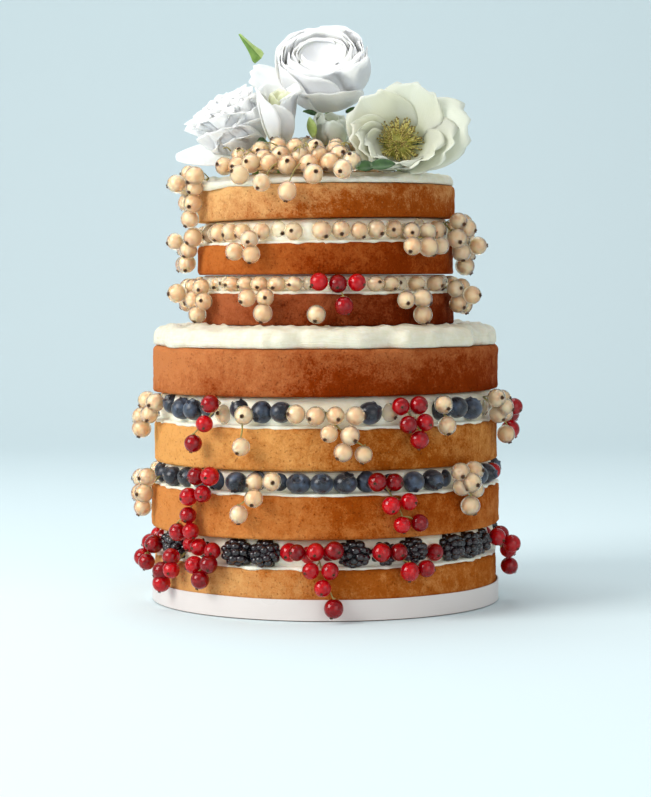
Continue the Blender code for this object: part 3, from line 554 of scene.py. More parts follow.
# Mesh building: shapes with a mapping of their own are gathered in a pile and become one piece.


def newPile():
    return {"points": [], "faces": [], "maps": [], "finishes": [], "tints": []}


def addShape(pile, shape, matrix, finish, tint=0.5):
    points, faces, maps = shape
    first = len(pile["points"])
    pile["points"] += [matrix @ Vector(point) for point in points]
    pile["faces"] += [tuple(corner + first for corner in face) for face in faces]
    pile["maps"] += maps
    pile["finishes"] += [finish] * len(faces)
    pile["tints"] += [tint] * len(points)


def pieceFrom(pile, name):
    mesh = bpy.data.meshes.new(name)
    mesh.from_pydata(pile["points"], [], pile["faces"])
    finishes = sorted(set(pile["finishes"]))
    for finish in finishes:
        mesh.materials.append(materials[finish])
    order = {finish: place for place, finish in enumerate(finishes)}
    mesh.polygons.foreach_set("material_index", [order[finish] for finish in pile["finishes"]])
    mesh.polygons.foreach_set("use_smooth", [True] * len(mesh.polygons))
    mapping = mesh.uv_layers.new(name="UVMap")
    mapping.data.foreach_set("uv", [value for face in pile["maps"] for corner in face for value in corner])
    tints = mesh.color_attributes.new(name="tint", type="FLOAT_COLOR", domain="POINT")
    tints.data.foreach_set("color", [value for tint in pile["tints"] for value in (tint, tint, tint, 1.0)])
    mesh.update()
    piece = bpy.data.objects.new(name, mesh)
    bpy.context.scene.collection.objects.link(piece)
    return piece


def dressed(piece, slot, *nodes):
    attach(piece, "root")
    if nodes:
        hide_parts(*nodes)
    return piece


# Faces between rings of as many points, with the mapping unrolled round them.
def joinRings(rings, sides):
    faces, maps = [], []
    for ring in range(rings - 1):
        high, low = 1 - ring / (rings - 1), 1 - (ring + 1) / (rings - 1)
        for side in range(sides):
            after = (side + 1) % sides
            here, below = ring * sides, (ring + 1) * sides
            faces.append((here + side, below + side, below + after, here + after))
            left, right = side / sides, (side + 1) / sides
            maps.append(((left, high), (left, low), (right, low), (right, high)))
    return faces, maps


def closeRing(faces, maps, ring, mapped=(0.5, 0.5)):
    faces.append(tuple(ring))
    maps.append((mapped,) * len(ring))


# A skin turned round the Z axis from rows of rings: ringAt(row, angle) gives each point.
def turnedShape(rows, steps, ringAt):
    points = [ringAt(row, 360 * step / steps) for row in range(rows) for step in range(steps)]
    faces, maps = joinRings(rows, steps)
    closeRing(faces, maps, range(steps), (0.5, 1.0))
    closeRing(faces, maps, range(len(points) - steps, len(points))[::-1], (0.5, 0.0))
    return points, faces, maps


def ballShape(steps, polars, radiusAt=lambda polar, turn: 1.0):
    points, faces, maps = [], [], []
    for polar in polars:
        for step in range(steps):
            turn = 2 * math.pi * step / steps
            radius = radiusAt(polar, turn)
            across = radius * math.sin(math.radians(polar))
            height = radius * math.cos(math.radians(polar))
            points.append((across * math.cos(turn), across * math.sin(turn), height))
    top = len(points)
    points += [(0, 0, radiusAt(0, 0)), (0, 0, -radiusAt(180, 0))]
    for step in range(steps):
        after = (step + 1) % steps
        left, right = step / steps, (step + 1) / steps
        faces.append((top, step, after))
        high = 1 - polars[0] / 180
        maps.append((((left + right) / 2, 1.0), (left, high), (right, high)))
        for row in range(len(polars) - 1):
            here, below = row * steps, (row + 1) * steps
            high, low = 1 - polars[row] / 180, 1 - polars[row + 1] / 180
            faces.append((here + step, below + step, below + after, here + after))
            maps.append(((left, high), (left, low), (right, low), (right, high)))
        last = (len(polars) - 1) * steps
        low = 1 - polars[-1] / 180
        faces.append((last + step, top + 1, last + after))
        maps.append(((left, low), ((left + right) / 2, 0.0), (right, low)))
    return points, faces, maps


def tubeShape(path, radius, sides=6, tip=1.0):
    points = []
    side = Vector((0.3, 0.2, 1.0))
    last = len(path) - 1
    for place, point in enumerate(path):
        ahead = path[min(place + 1, last)] - path[max(place - 1, 0)]
        ahead = ahead.normalized() if ahead.length > 1e-9 else upwards(1)
        side = (side - ahead * side.dot(ahead)).normalized()
        other = ahead.cross(side)
        wide = radius * (1 + (tip - 1) * place / last)
        for corner in range(sides):
            turn = 2 * math.pi * corner / sides
            points.append(point + (side * math.cos(turn) + other * math.sin(turn)) * wide)
    faces, maps = ([corners[::-1] for corners in part] for part in joinRings(len(path), sides))
    closeRing(faces, maps, range(sides)[::-1])
    closeRing(faces, maps, range(len(points) - sides, len(points)))
    return points, faces, maps


def bentPath(start, end, sag, steps=6):
    shares = [step / steps for step in range(steps + 1)]
    return [start.lerp(end, share) + sag * 4 * share * (1 - share) for share in shares]


# A grid of points for a petal or a leaf, from its root to its tip and from side to side.
def gridOf(along, across, pointAt):
    return [[pointAt(i / along, j / across) for j in range(across + 1)] for i in range(along + 1)]


upright = Matrix.Identity(4)


# The sponge layers: rounded at the top edge, sharper below, with crumbs broken off the edges.
spongeShape = {
    "steps": 320, "sideRows": 13, "topRound": 0.0026, "lowRound": 0.0014,
    "uneven": 0.0005, "dimples": 0.00030, "brokenEdge": 0.00045, "raggedEdge": 0.0004,
}


def makeSponge(name, number):
    bottom, top = levels[name]
    radius = layerRadii[name]
    low, high = (bottom + gap / 2 if bottom else 0.0), top - gap / 2
    # Rows of the skin: radius, share of the height, lift from there.
    rows = [(radius * share, 1.0, 0.0) for share in (0.02, 0.5, 0.86)]
    topRound, lowRound = spongeShape["topRound"], spongeShape["lowRound"]
    for turn in map(math.radians, (0, 22, 45, 68, 90)):
        rows.append((radius - topRound * (1 - math.sin(turn)), 1.0, -topRound * (1 - math.cos(turn))))
    first, last = high - topRound, low + lowRound
    for row in range(1, spongeShape["sideRows"]):
        height = first + (last - first) * row / spongeShape["sideRows"]
        rows.append((radius, (height - low) / (high - low), 0.0))
    for turn in map(math.radians, (90, 45, 0)):
        rows.append((radius - lowRound * (1 - math.sin(turn)), 0.0, lowRound * (1 - math.cos(turn))))
    rows += [(radius * share, 0.0, 0.0) for share in (0.86, 0.02)]

    def ringAt(row, angle):
        reach, share, lift = rows[row]
        height = low + (high - low) * share + lift
        point = around(angle, reach, height)
        if reach > radius * 0.9:
            outwards = outwardsAt(point)
            x, y, z = point
            nearEdge = 1 - min(abs(share - 0.5), 0.5) * 2
            push = spongeShape["uneven"] * wave(x * 18, y * 18, number * 7.3)
            push += spongeShape["dimples"] * wave(x * 95, y * 95, z * 140 + number)
            push += spongeShape["brokenEdge"] * wave(x * 310, y * 310, z * 310) * (1.25 - nearEdge)
            point += outwards * push
            if bottom and abs(lift) > 0:
                x, y, z = point
                point.z += spongeShape["raggedEdge"] * wave(x * 240, y * 240, z * 100 + 5)
        point.z += tiltOf(name, share) * point.x
        return point

    pile = newPile()
    materials[name] = spongeMaterial(name)
    addShape(pile, turnedShape(len(rows), spongeShape["steps"], ringAt), upright, name)
    slot = "sponge_brown" if name in ("layer_4", "layer_5", "layer_6") else "sponge_pale"
    dressed(pieceFrom(pile, "sponge_" + str(number)), slot, name)


for number, name in enumerate(layerRadii, 1):
    makeSponge(name, number)
print("sponge layers made")


# The satin ribbon round the foot, its end lapped over at the back.
ribbonShape = {
    "bottom": 0.0006, "top": 0.0122, "inside": 0.1021, "thickness": 0.0006, "steps": 300,
    "seam": 176, "lapSteps": 8, "lapLift": 0.0005, "wavy": 0.00022, "wavyTop": 0.00025,
}


def makeRibbon():
    # Section of the band: inside or outside, share of the height.
    section = [(0, 0.0), (1, 0.0), (1, 0.18), (1, 0.5), (1, 0.82), (1, 1.0), (0, 1.0)]
    steps, wide = ribbonShape["steps"], len(section)
    rings = steps + ribbonShape["lapSteps"]
    points, faces, maps = [], [], []
    for step in range(rings):
        angle = ribbonShape["seam"] + 360 * step / steps
        lap = ribbonShape["lapLift"] if step >= steps else 0.0
        for out, share in section:
            radius = ribbonShape["inside"] + ribbonShape["thickness"] * out + lap
            height = ribbonShape["bottom"] + (ribbonShape["top"] - ribbonShape["bottom"]) * share
            here = around(angle, radius, height)
            here += outwardsAt(here) * ribbonShape["wavy"] * wave(here.x * 40, here.y * 40, share * 2)
            if share > 0.9:
                here.z += ribbonShape["wavyTop"] * wave(here.x * 22, here.y * 22, 4.0)
            points.append(here)
    for step in range(rings - 1):
        for row in range(wide):
            after = (row + 1) % wide
            here, ahead = step * wide, (step + 1) * wide
            faces.append((here + row, ahead + row, ahead + after, here + after))
            left, right = step / steps, (step + 1) / steps
            low, high = section[row][1], section[after][1] if after else 0.0
            maps.append(((left, low), (right, low), (right, high), (left, high)))
    closeRing(faces, maps, range(wide))
    closeRing(faces, maps, range(len(points) - wide, len(points))[::-1])
    pile = newPile()
    addShape(pile, (points, faces, maps), upright, "satin")
    piece = dressed(pieceFrom(pile, "satin_ribbon"), "satin", "ribbon")
    piece.data.set_sharp_from_angle(angle=math.radians(40))


makeRibbon()
print("ribbon made")


# The fruit lies where it does in the solids. Half width and height share of each kind: red
# currant, white currant, blueberry, bramble.
fruit = {"r": (0.0051, 1.0), "w": (0.0054, 1.0), "u": (0.0066, 0.92), "k": (0.0088, 0.84)}
kindNames = {"r": "red", "w": "white", "u": "blueberry", "k": "bramble"}
faceted = 1.08  # how much wider the solids' faceted berries are
sizeSpread = 0.07
proudOfRim = 0.0032
clear = 0.0004

# Angle of the first berry from the front, then the kinds in a row.

rowsOfFruit = {
    "filling_1": [
        (-75, "kk"), (-35.5, "kk"), (4, "k"), (25, "k"), (35, "r"), (41.5, "kk"), (63, "k"),
        (90, "kk"), (114, "rr"), (128, "kkk"), (162, "r"), (170, "kk"), (194, "rr"), (208, "kk"),
        (232, "r"), (240, "kk"), (264, "r"),
    ],
    "filling_2": [
        (-65.5, "u"), (-33.5, "u"), (-12.6, "uuu"), (26, "u"), (33.5, "u"), (58, "uu"), (74, "r"),
        (90, "uu"), (110, "ww"), (124, "uuu"), (150, "rr"), (165, "uu"), (184, "u"), (204, "uu"),
        (224, "rr"), (238, "uuu"), (264, "w"),
    ],
    "filling_3": [
        (-60, "uu"), (-25.4, "u"), (-18, "u"), (10.6, "u"), (37.6, "u"), (45.5, "uu"),
        (92, "uu"), (112, "ww"), (128, "uu"), (140, "w"), (164, "uu"), (184, "w"), (196, "uu"),
        (214, "ww"), (230, "uu"), (250, "rr"), (264, "u"),
    ],
    "filling_5": [
        (-50, "wwwww"), (18.4, "ww"), (41, "w"), (54, "w"), (84, "ww"), (106, "www"), (134, "rr"),
        (153, "www"), (180, "w"), (196, "www"), (226, "rr"), (246, "www"),
    ],
    "filling_6": [
        (-60, "www"), (-33, "w"), (-18, "w"), (-6, "wwww"), (28, "w"), (56, "w"), (88, "www"),
        (116, "wwww"), (154, "www"), (182, "ww"), (204, "wwww"), (240, "www"),
    ],
}
# angle, fruit, height of the top row, berries in each row, drop in mm, lean in degrees, berries over
bunches = {
    "filling_1": [
        (-75, "r", 0.0345, (2, 2), 8.5, 0, 0), (-54, "r", 0.0320, (1, 2, 1), 8.5, -2, 0),
        (-40, "r", 0.0385, (2, 2, 1), 8.8, 0.5, 0), (-3, "r", 0.0390, (3, 2, 1, 1), 9.8, 1.5, 0),
        (20, "r", 0.0375, (2, 2), 9.5, 8, 0), (75, "r", 0.0385, (2, 1, 1), 9.2, 4, 1),
        (152, "r", 0.0380, (2, 2, 1), 9.4, -2, 0), (224, "r", 0.0380, (1, 2, 1, 1), 9.4, 2, 0),
    ],
    "filling_2": [
        (-77, "w", 0.0735, (2, 2, 1), 8.6, 1, 0), (-39, "r", 0.0790, (2, 2, 1, 2), 10.6, -2.5, 0),
        (-19, "w", 0.0775, (2, 1, 1), 9.0, -3, 0), (18.5, "r", 0.0760, (2, 2, 2), 10.8, 3.5, 0),
        (46.5, "w", 0.0800, (2, 2, 1), 8.8, 1, 1), (122, "w", 0.0770, (2, 2, 1), 9.4, 2, 0),
        (194, "r", 0.0770, (2, 2, 1, 1), 10.0, 1, 0),
    ],
    "filling_3": [
        (-73, "w", 0.1190, (2, 2, 1), 8.8, -1, 0), (-36.5, "r", 0.1190, (1, 1, 1), 10.5, -2.5, 0),
        (-28.5, "w", 0.1150, (2, 1), 17.5, 2.5, 0), (0, "w", 0.1145, (4, 2, 2), 10.6, 4, 0),
        (26, "r", 0.1180, (2, 2, 1), 8.8, 1.5, 0), (67, "w", 0.1200, (2, 2, 1), 10.0, 3, 1),
        (82, "r", 0.1180, (1, 2, 1), 8.6, -1, 1), (152, "r", 0.1170, (2, 2, 1), 9.4, 2, 0),
        (238, "w", 0.1160, (3, 2, 1), 9.4, 1, 0), (38, "w", 0.1190, (1, 1), 12.0, -1, 0),
    ],
    "filling_5": [
        (-69, "w", 0.1840, (3, 3, 1), 8.2, 4, 1), (-28, "w", 0.1790, (2, 1), 9.6, 2, 0),
        (5, "r", 0.1860, (3, 1), 12.4, 1, 0), (37, "w", 0.1775, (2, 1), 8.4, 3, 0),
        (69, "w", 0.1840, (2, 2), 9.4, 2, 1), (124, "w", 0.1830, (2, 2), 9.0, -3, 0),
        (190, "w", 0.1830, (2, 1), 9.0, 3, 0), (-3.5, "w", 0.1680, (1,), 8.0, 0, 0),
    ],
    "filling_6": [
        (-74, "w", 0.2150, (2, 2, 2), 8.4, -3, 1), (-31, "w", 0.2110, (1, 2), 7.0, -3, 0),
        (42, "w", 0.2150, (2, 3), 9.2, 2, 0), (72, "w", 0.2200, (2, 3, 2, 1), 8.6, 1, 2),
        (176, "w", 0.2150, (2, 2, 1), 8.8, 3, 0),
    ],
    "cream_7": [(-68, "w", 0.2495, (2, 2, 2, 1), 8.2, -1, 1)],
}
hanging = {"outOfGap": 0.0030, "offFace": 0.0010, "spacing": 0.98, "over": 1.45}


def berrySizes(kind, draw):
    halfWidth, share = fruit[kind]
    halfWidth *= 1 + draw.uniform(-sizeSpread, sizeSpread)
    return halfWidth, halfWidth * share


def tierRadius(name):
    return lowerRadius if name in ("filling_1", "filling_2", "filling_3") else upperRadius


def faceRadius(name):
    if name == "filling_1":
        return ribbonShape["inside"] + ribbonShape["thickness"]
    near = [radius for radius in layerRadii.values() if abs(radius - tierRadius(name)) < 0.004]
    return max(near) + spongeShape["uneven"]


def restingRadius(name, height, wide):
    gapBottom, gapTop = levels[name]
    across = wide * faceted
    covered = max(gapBottom - height + across, height + across - gapTop, 0.0)
    touching = math.sqrt(across**2 - max(across - covered, 0.0) ** 2)
    return max(tierRadius(name) + hanging["outOfGap"], faceRadius(name) + touching + hanging["offFace"])


def bunchBerries(name, bunch, seed):
    angle, kind, top, rows, drop, lean, over = bunch
    draw = random.Random(seed)
    lowest = levels["cream_4"][1] if name == "filling_5" else 0.0
    drop *= 0.001
    berries = []

    def hang(turn, height, further):
        wide, high = berrySizes(kind, draw)
        height += draw.uniform(-0.0012, 0.0012)
        middle = around(turn, restingRadius(name, height, wide) + further * wide, height)
        middle.z += slopes[levels[name][0]] * middle.x
        middle.z = max(middle.z, lowest + high * faceted + clear)
        berries.append((middle, wide, high, kind))

    pitch = math.degrees(2 * fruit[kind][0] * hanging["spacing"] / tierRadius(name))
    for row, count in enumerate(rows):
        for i in range(count):
            sideways = (i - (count - 1) / 2) * pitch
            if count == 1 and row:
                sideways = (0.15 if row % 2 else -0.15) * pitch
            hang(angle + lean * row + sideways, top - row * drop, 0.0)
    for row in range(over):
        sideways = (0.25 if row % 2 else -0.25) * pitch
        hang(angle + lean * (row + 0.5) + sideways, top - (row + 0.5) * drop, hanging["over"])
    return berries


def apart(middle, wide, other):
    return (middle - other[0]).length > (wide + other[1]) * faceted + clear


# Whether a berry has room: it may sink into the others by what the share leaves.
def hasRoom(middle, wide, others, share):
    return all((middle - other[0]).length > (wide + other[1]) * share for other in others)


pressing = {"steps": 9, "inwards": 0.0009, "fullBramble": 1.08}


def gapBerries(name, near):
    bottom, top = levels[name]
    draw = random.Random(name)
    rim = tierRadius(name) + proudOfRim
    berries = []
    for start, row in rowsOfFruit[name]:
        angle = start
        for kind in row:
            wide, high = berrySizes(kind, draw)
            halfTurn = math.degrees(wide / tierRadius(name))
            middle = around(angle + halfTurn, rim - wide + draw.uniform(-0.0006, 0.0008), 0.0)
            low, roof = slopeAt(bottom, middle.x), slopeAt(top, middle.x)
            high = min(high, ((roof - low) / 2 - clear) / faceted)
            spare = (roof - low) / 2 - clear - high * faceted
            middle.z = (low + roof) / 2 + spare * draw.uniform(-0.9, 0.3)
            angle += 2 * halfTurn
            # A fruit that a bunch hangs in front of lies further in.
            for step in range(pressing["steps"]):
                inwards = -outwardsAt(middle) * pressing["inwards"] * step
                if hasRoom(middle + inwards, wide, near, 0.95):
                    larger = pressing["fullBramble"] if kind == "k" else 1.0
                    berries.append((middle + inwards, wide * larger, high * larger, kind))
                    break
    return berries


# More fruit pressed deeper between the others: its kinds, and how likely each place is taken.
deeper = {
    "filling_1": ("kkr", 1.0), "filling_2": ("u", 0.9), "filling_3": ("uw", 0.30),
    "filling_5": ("w", 0.75), "filling_6": ("w", 0.9),
}


def deepBerries(name, near):
    bottom, top = levels[name]
    kinds, likely = deeper[name]
    draw = random.Random("deeper " + name)
    berries = []
    angle = -180.0
    while angle < 180:
        kind = draw.choice(kinds)
        wide, high = berrySizes(kind, draw)
        inwards = draw.uniform(0.0030, 0.0062)
        middle = around(angle, tierRadius(name) + proudOfRim - wide - inwards, 0.0)
        low, roof = slopeAt(bottom, middle.x), slopeAt(top, middle.x)
        high = min(high, (roof - low) / 2 - clear)
        middle.z = (low + roof) / 2 + ((roof - low) / 2 - high) * draw.uniform(-0.8, 0.9)
        if hasRoom(middle, wide, near + berries, 0.90) and draw.random() < likely:
            berries.append((middle, wide, high, kind))
        angle += 1.6
    return berries


# Shapes of the fruit, each one unit in half width, its stalk end up.
evenPolars = [11.25 * row for row in range(1, 16)]
currantShape = ballShape(24, evenPolars, lambda polar, turn: 1.0 - 0.03 * math.exp(-((polar / 16) ** 2)))
fleshShape = ballShape(14, [20, 45, 70, 95, 120, 150], lambda polar, turn: 0.64)
crownPolars = [12, 26, 40, 54, 68, 82, 96, 110, 124, 136, 144, 150, 155, 159, 163, 168, 174]


def crownedRadius(polar, turn):
    fromCrown = 180 - polar
    lobes = 0.5 + 0.5 * math.cos(5 * turn)
    rim = math.exp(-(((fromCrown - 26 + 3 * lobes) / 4.5) ** 2)) * (0.05 + 0.12 * lobes)
    well = 0.20 * softStep(24 - fromCrown, 0, 7)
    stalk = 0.04 * math.exp(-((polar / 12) ** 2))
    return 1.0 + rim - well - stalk


blueberryShape = ballShape(30, crownPolars, crownedRadius)
drupeletShape = ballShape(12, [18, 38, 58, 80, 104, 130])


# The dry flower end of a currant: radius, height and raggedness of its rings.
calyxLook = {
    "rings": [(0.20, -0.965, 0.0), (0.185, -1.06, 0.05), (0.10, -1.07, 0.05), (0.06, -1.0, 0.0)],
    "sides": 10, "wide": {"r": 0.85, "w": 1.15},
}


def calyxShape():
    points, sides = [], calyxLook["sides"]
    for reach, height, ragged in calyxLook["rings"]:
        for side in range(sides):
            turn = 2 * math.pi * side / sides
            lobe = ragged * (1 if side % 2 else -1)
            points.append((reach * math.cos(turn), reach * math.sin(turn), height - lobe))
    faces, maps = joinRings(len(calyxLook["rings"]), sides)
    closeRing(faces, maps, range(len(points) - sides, len(points)))
    return points, faces, maps


calyx = calyxShape()


# A bramble: drupelets packed in a spiral over a core, its stalk end up.
brambleLook = {
    "drupelets": 36, "size": 0.300, "outAt": 0.77, "core": (0.82, 0.82, 0.84, 1.0),
    "turn": 2.39996,  # from one drupelet to the next, in radians
}


def brambleShape(seed):
    draw = random.Random(seed)
    pile = newPile()
    addShape(pile, ballShape(14, [30, 60, 90, 120, 150]), Matrix.Diagonal(brambleLook["core"]), "bramble")
    count = brambleLook["drupelets"]
    for place in range(count):
        height = 1 - 2 * (place + 0.5) / count
        across = math.sqrt(1 - height * height)
        turn = place * brambleLook["turn"] + draw.uniform(-0.12, 0.12)
        size = brambleLook["size"] * draw.uniform(0.92, 1.08)
        middle = Vector((across * math.cos(turn), across * math.sin(turn), height)) * brambleLook["outAt"]
        shape = Matrix.Diagonal((size, size, size * 1.05, 1.0))
        addShape(pile, drupeletShape, Matrix.Translation(middle) @ aimed(middle) @ shape, "bramble")
    return pile["points"], pile["faces"], pile["maps"]


brambleShapes = [brambleShape(seed) for seed in ("one", "two", "three")]


# Lays one berry: towards is where its dry flower end points.
def layBerry(pile, berry, towards, draw):
    middle, wide, high, kind = berry
    turned = aimed(-towards)
    spin = Matrix.Rotation(draw.uniform(0, 6.28), 4, "Z")
    size = Matrix.Diagonal((wide, wide, wide * draw.uniform(0.97, 1.04), 1.0))
    flatten = Matrix.Diagonal((1.0, 1.0, high / wide, 1.0))
    place = Matrix.Translation(middle) @ flatten @ turned @ spin @ size
    shape = {"r": currantShape, "w": currantShape, "u": blueberryShape}.get(kind)
    addShape(pile, shape or draw.choice(brambleShapes), place, kindNames[kind], draw.random())
    if kind in "rw":
        addShape(pile, fleshShape, place, kindNames[kind] + "_flesh", draw.random())
        across = calyxLook["wide"][kind]
        addShape(pile, calyx, place @ Matrix.Diagonal((across, across, 1.0, 1.0)), "calyx")


def wandering(direction, draw, amount):
    shake = Vector([draw.uniform(-1, 1) for _ in range(3)]) * amount
    return (direction + shake).normalized()


# A bunch: the stalk runs down behind its berries, with a short stem to each of them.
stalks = {"stalkRadius": 0.00062, "stemRadius": 0.00036, "rootInside": 0.003, "steps": 10, "wander": 0.34}


def makeBunch(name, number, bunch, berries):
    draw = random.Random(f"stalk {name} {number}")
    pile = newPile()
    inside = stalks["rootInside"]
    root = around(bunch[0], tierRadius(name) - inside, min(bunch[2], levels[name][1] - inside) + 0.001)
    lowest = min(berries, key=lambda berry: berry[0].z)
    near = sum((berry[0] for berry in berries), Vector()) / len(berries)
    behind = near - outwardsAt(near) * 0.002
    end = lowest[0] + upwards(lowest[2] * 0.9) + outwardsAt(lowest[0]) * 0.001
    shares = [step / stalks["steps"] for step in range(stalks["steps"] + 1)]
    path = [root.lerp(behind, share).lerp(behind.lerp(end, share), share) for share in shares]
    addShape(pile, tubeShape(path, stalks["stalkRadius"], 6, 0.6), upright, "stalk")
    for berry in berries:
        middle, wide = berry[0], berry[1]
        above = [point for point in path if point.z > middle.z - wide * 0.2] or path[:3]
        start = min(above, key=lambda point: (point - middle).length + abs(point.z - middle.z - wide) * 0.6)
        away = middle - start + outwardsAt(middle) * 0.005 - upwards(0.0035)
        towards = wandering(away.normalized(), draw, stalks["wander"])
        foot = middle - towards * wide * 0.95
        sag = upwards(0.0008) + outwardsAt(middle) * 0.0006
        addShape(pile, tubeShape(bentPath(start, foot, sag, 5), stalks["stemRadius"], 5), upright, "stalk")
        layBerry(pile, berry, towards, draw)
    colour = kindNames[bunch[1]]
    node = f"bunch_{name[-1]}_{number}"
    dressed(pieceFrom(pile, f"{colour}_currants_{name[-1]}_{number}"), colour + "_currant", node)


hangingBy = {}
for name, table in bunches.items():
    for number, bunch in enumerate(table, 1):
        others = hangingBy.setdefault(name, [])
        berries = bunchBerries(name, bunch, f"{name} {number}")
        berries = [b for b in berries if all(apart(b[0], b[1], other) for other in others)]
        makeBunch(name, number, bunch, berries)
        others += berries
print("bunches hung:", sum(len(table) for table in bunches.values()))


# The fillings: cream that has oozed to the rim between the fruit, and a little over the edge below.
fillingShape = {
    "atRim": 0.0010, "behindBunch": 0.0030, "behindPressed": 0.0030, "steps": 320,
    "ooze": 0.0018, "bulge": 0.0045, "rough": 0.0005,
    # bulge and share of the height of the rows at the rim
    "rows": [
        (-1, 1.0), (0.0, 1.0), (0.45, 1.0), (0.8, 0.92), (1.0, 0.74), (1.05, 0.5), (1.0, 0.28), (0.9, 0.10),
    ],
    "lipLifts": (0.0012, 0.0008, -0.0001, -0.0012, -0.0004),
}


# How far it is from an edge to the closest berry, in the berry's own half widths.
def closestTo(edge, berries):
    return min([(edge - berry[0]).xy.length / berry[1] for berry in berries] or [9])


def makeFilling(name, near, pressed):
    bottom, top = levels[name]
    low, high = bottom + gap / 2, top - gap / 2
    rim = tierRadius(name)
    below = layerRadii["layer_" + name[-1]]
    level = [berry for berry in near if berry[0].z + berry[2] > bottom - 0.003]
    outer = [berry for berry in pressed if berry[0].xy.length > rim - 0.010]
    rows, lifts = fillingShape["rows"], fillingShape["lipLifts"]
    known = {}

    def reachAt(angle):
        if angle not in known:
            edge = around(angle, rim, (bottom + top) / 2)
            back = fillingShape["behindBunch"] * (1 - softStep(closestTo(edge, level), 1.2, 2.6))
            back = max(back, fillingShape["behindPressed"] * (1 - softStep(closestTo(edge, outer), 0.9, 2.4)))
            lump = 0.0007 * (1 + wave(angle * 0.09, 3.1, bottom * 90))
            lump += 0.0006 * wave(angle * 0.35, 7.7, bottom * 50)
            known[angle] = rim - fillingShape["atRim"] - lump - back
        return known[angle]

    def ringAt(row, angle):
        if row < len(rows):
            bulge, share = rows[row]
            radius = rim * 0.3 if bulge < 0 else reachAt(angle) - (1 - bulge) * fillingShape["bulge"]
            height = low + (high - low) * share
        else:
            lip = row - len(rows)
            ooze = fillingShape["ooze"] * max(-0.3, 0.10 + 1.5 * wave(angle * 0.22, 1.3, bottom * 70))
            edge = below - 0.0016 + ooze
            radius = (reachAt(angle) - 0.0002, edge - 0.0003, edge, edge - 0.0006, edge - 0.006)[lip]
            height = low + lifts[lip]
        point = around(angle, radius, height)
        if 2 <= row <= len(rows) + 3:
            rough = wave(point.x * 170, point.y * 170, point.z * 260)
            point += outwardsAt(point) * fillingShape["rough"] * rough
        point.z += tiltOf(name, within((height - low) / (high - low))) * point.x
        return point

    pile = newPile()
    rings = len(rows) + len(lifts)
    addShape(pile, turnedShape(rings, fillingShape["steps"], ringAt), upright, "filling")
    dressed(pieceFrom(pile, "cream_" + name), "cream", name)


# The fruit pressed into a filling, one piece for each kind, turned every way.
def makePressed(name, pressed):
    draw = random.Random("pressed " + name)
    sorts = {}
    for berry in pressed:
        sort = sorts.setdefault(kindNames[berry[3]], newPile())
        out = outwardsAt(berry[0])
        towards = out * 0.9 - upwards(0.25)
        if berry[3] == "u":
            towards = out * draw.choice((0.9, 0.8, 0.2)) + upwards(draw.choice((0.9, -0.7, 0.2)))
        if berry[3] == "k":
            towards = out * 0.5 + out.cross(upwards(1)) * draw.choice((-0.8, 0.8))
        layBerry(sort, berry, wandering(towards, draw, 0.5), draw)
    for colour, sort in sorts.items():
        plural = {"blueberry": "blueberries", "bramble": "brambles"}.get(colour, colour + "_currants")
        slot = colour + "_currant" if colour in ("red", "white") else "cream"
        dressed(pieceFrom(sort, f"{plural}_in_{name}"), slot)


for name in rowsOfFruit:
    pressed = gapBerries(name, hangingBy[name])
    pressed += deepBerries(name, hangingBy[name] + pressed)
    makeFilling(name, hangingBy[name], pressed)
    makePressed(name, pressed)
print("fillings and pressed fruit made")


# Cream spread on the top of each tier, with long strokes, peaks and a ragged rim.
spreads = {
    "cream_4": {
        "radius": 0.0994, "table": 0.0740, "seed": 1.7, "stroke": 0.0022, "peaks": 0.0019, "ragged": 0.0032,
        # angle, span in degrees, how far out, how far down
        "dollops": [
            (-62, 9, 0.0022, 0.0006), (-20, 7, 0.0018, 0.0), (35, 12, 0.0014, 0.0), (150, 10, 0.0020, 0.0),
        ],
    },
    "cream_7": {
        "radius": 0.0750, "table": 0.0600, "seed": 5.2, "stroke": 0.0014, "peaks": 0.0011, "ragged": 0.0018,
        "dollops": [
            (-60, 13, 0.0040, 0.0028), (-34, 9, 0.0030, 0.0014), (20, 9, 0.0012, 0.0),
            (120, 12, 0.0020, 0.0010),
        ],
    },
}
# Share of the way from the table's rim out, and drop, of each row.
spreadRows = [
    (-1, 0), (-0.6, 0), (-0.25, 0), (0.0, 0), (0.12, 0), (0.24, 0), (0.36, 0.01), (0.48, 0.02),
    (0.6, 0.03), (0.7, 0.05), (0.8, 0.08), (0.88, 0.13), (0.94, 0.21), (0.98, 0.34), (1.0, 0.53),
    (1.01, 0.76), (1.0, 0.94), (0.95, 1.0),
]
# The heap of currants presses the cream of the upper tier down at the front.
heapDent = {"from": -74, "to": 38, "depth": 0.0032, "fade": 12}


def dentAt(angle):
    into = min(angle - heapDent["from"], heapDent["to"] - angle) / heapDent["fade"]
    return heapDent["depth"] * within(into)


def halfTurned(angle):
    return (angle + 180) % 360 - 180


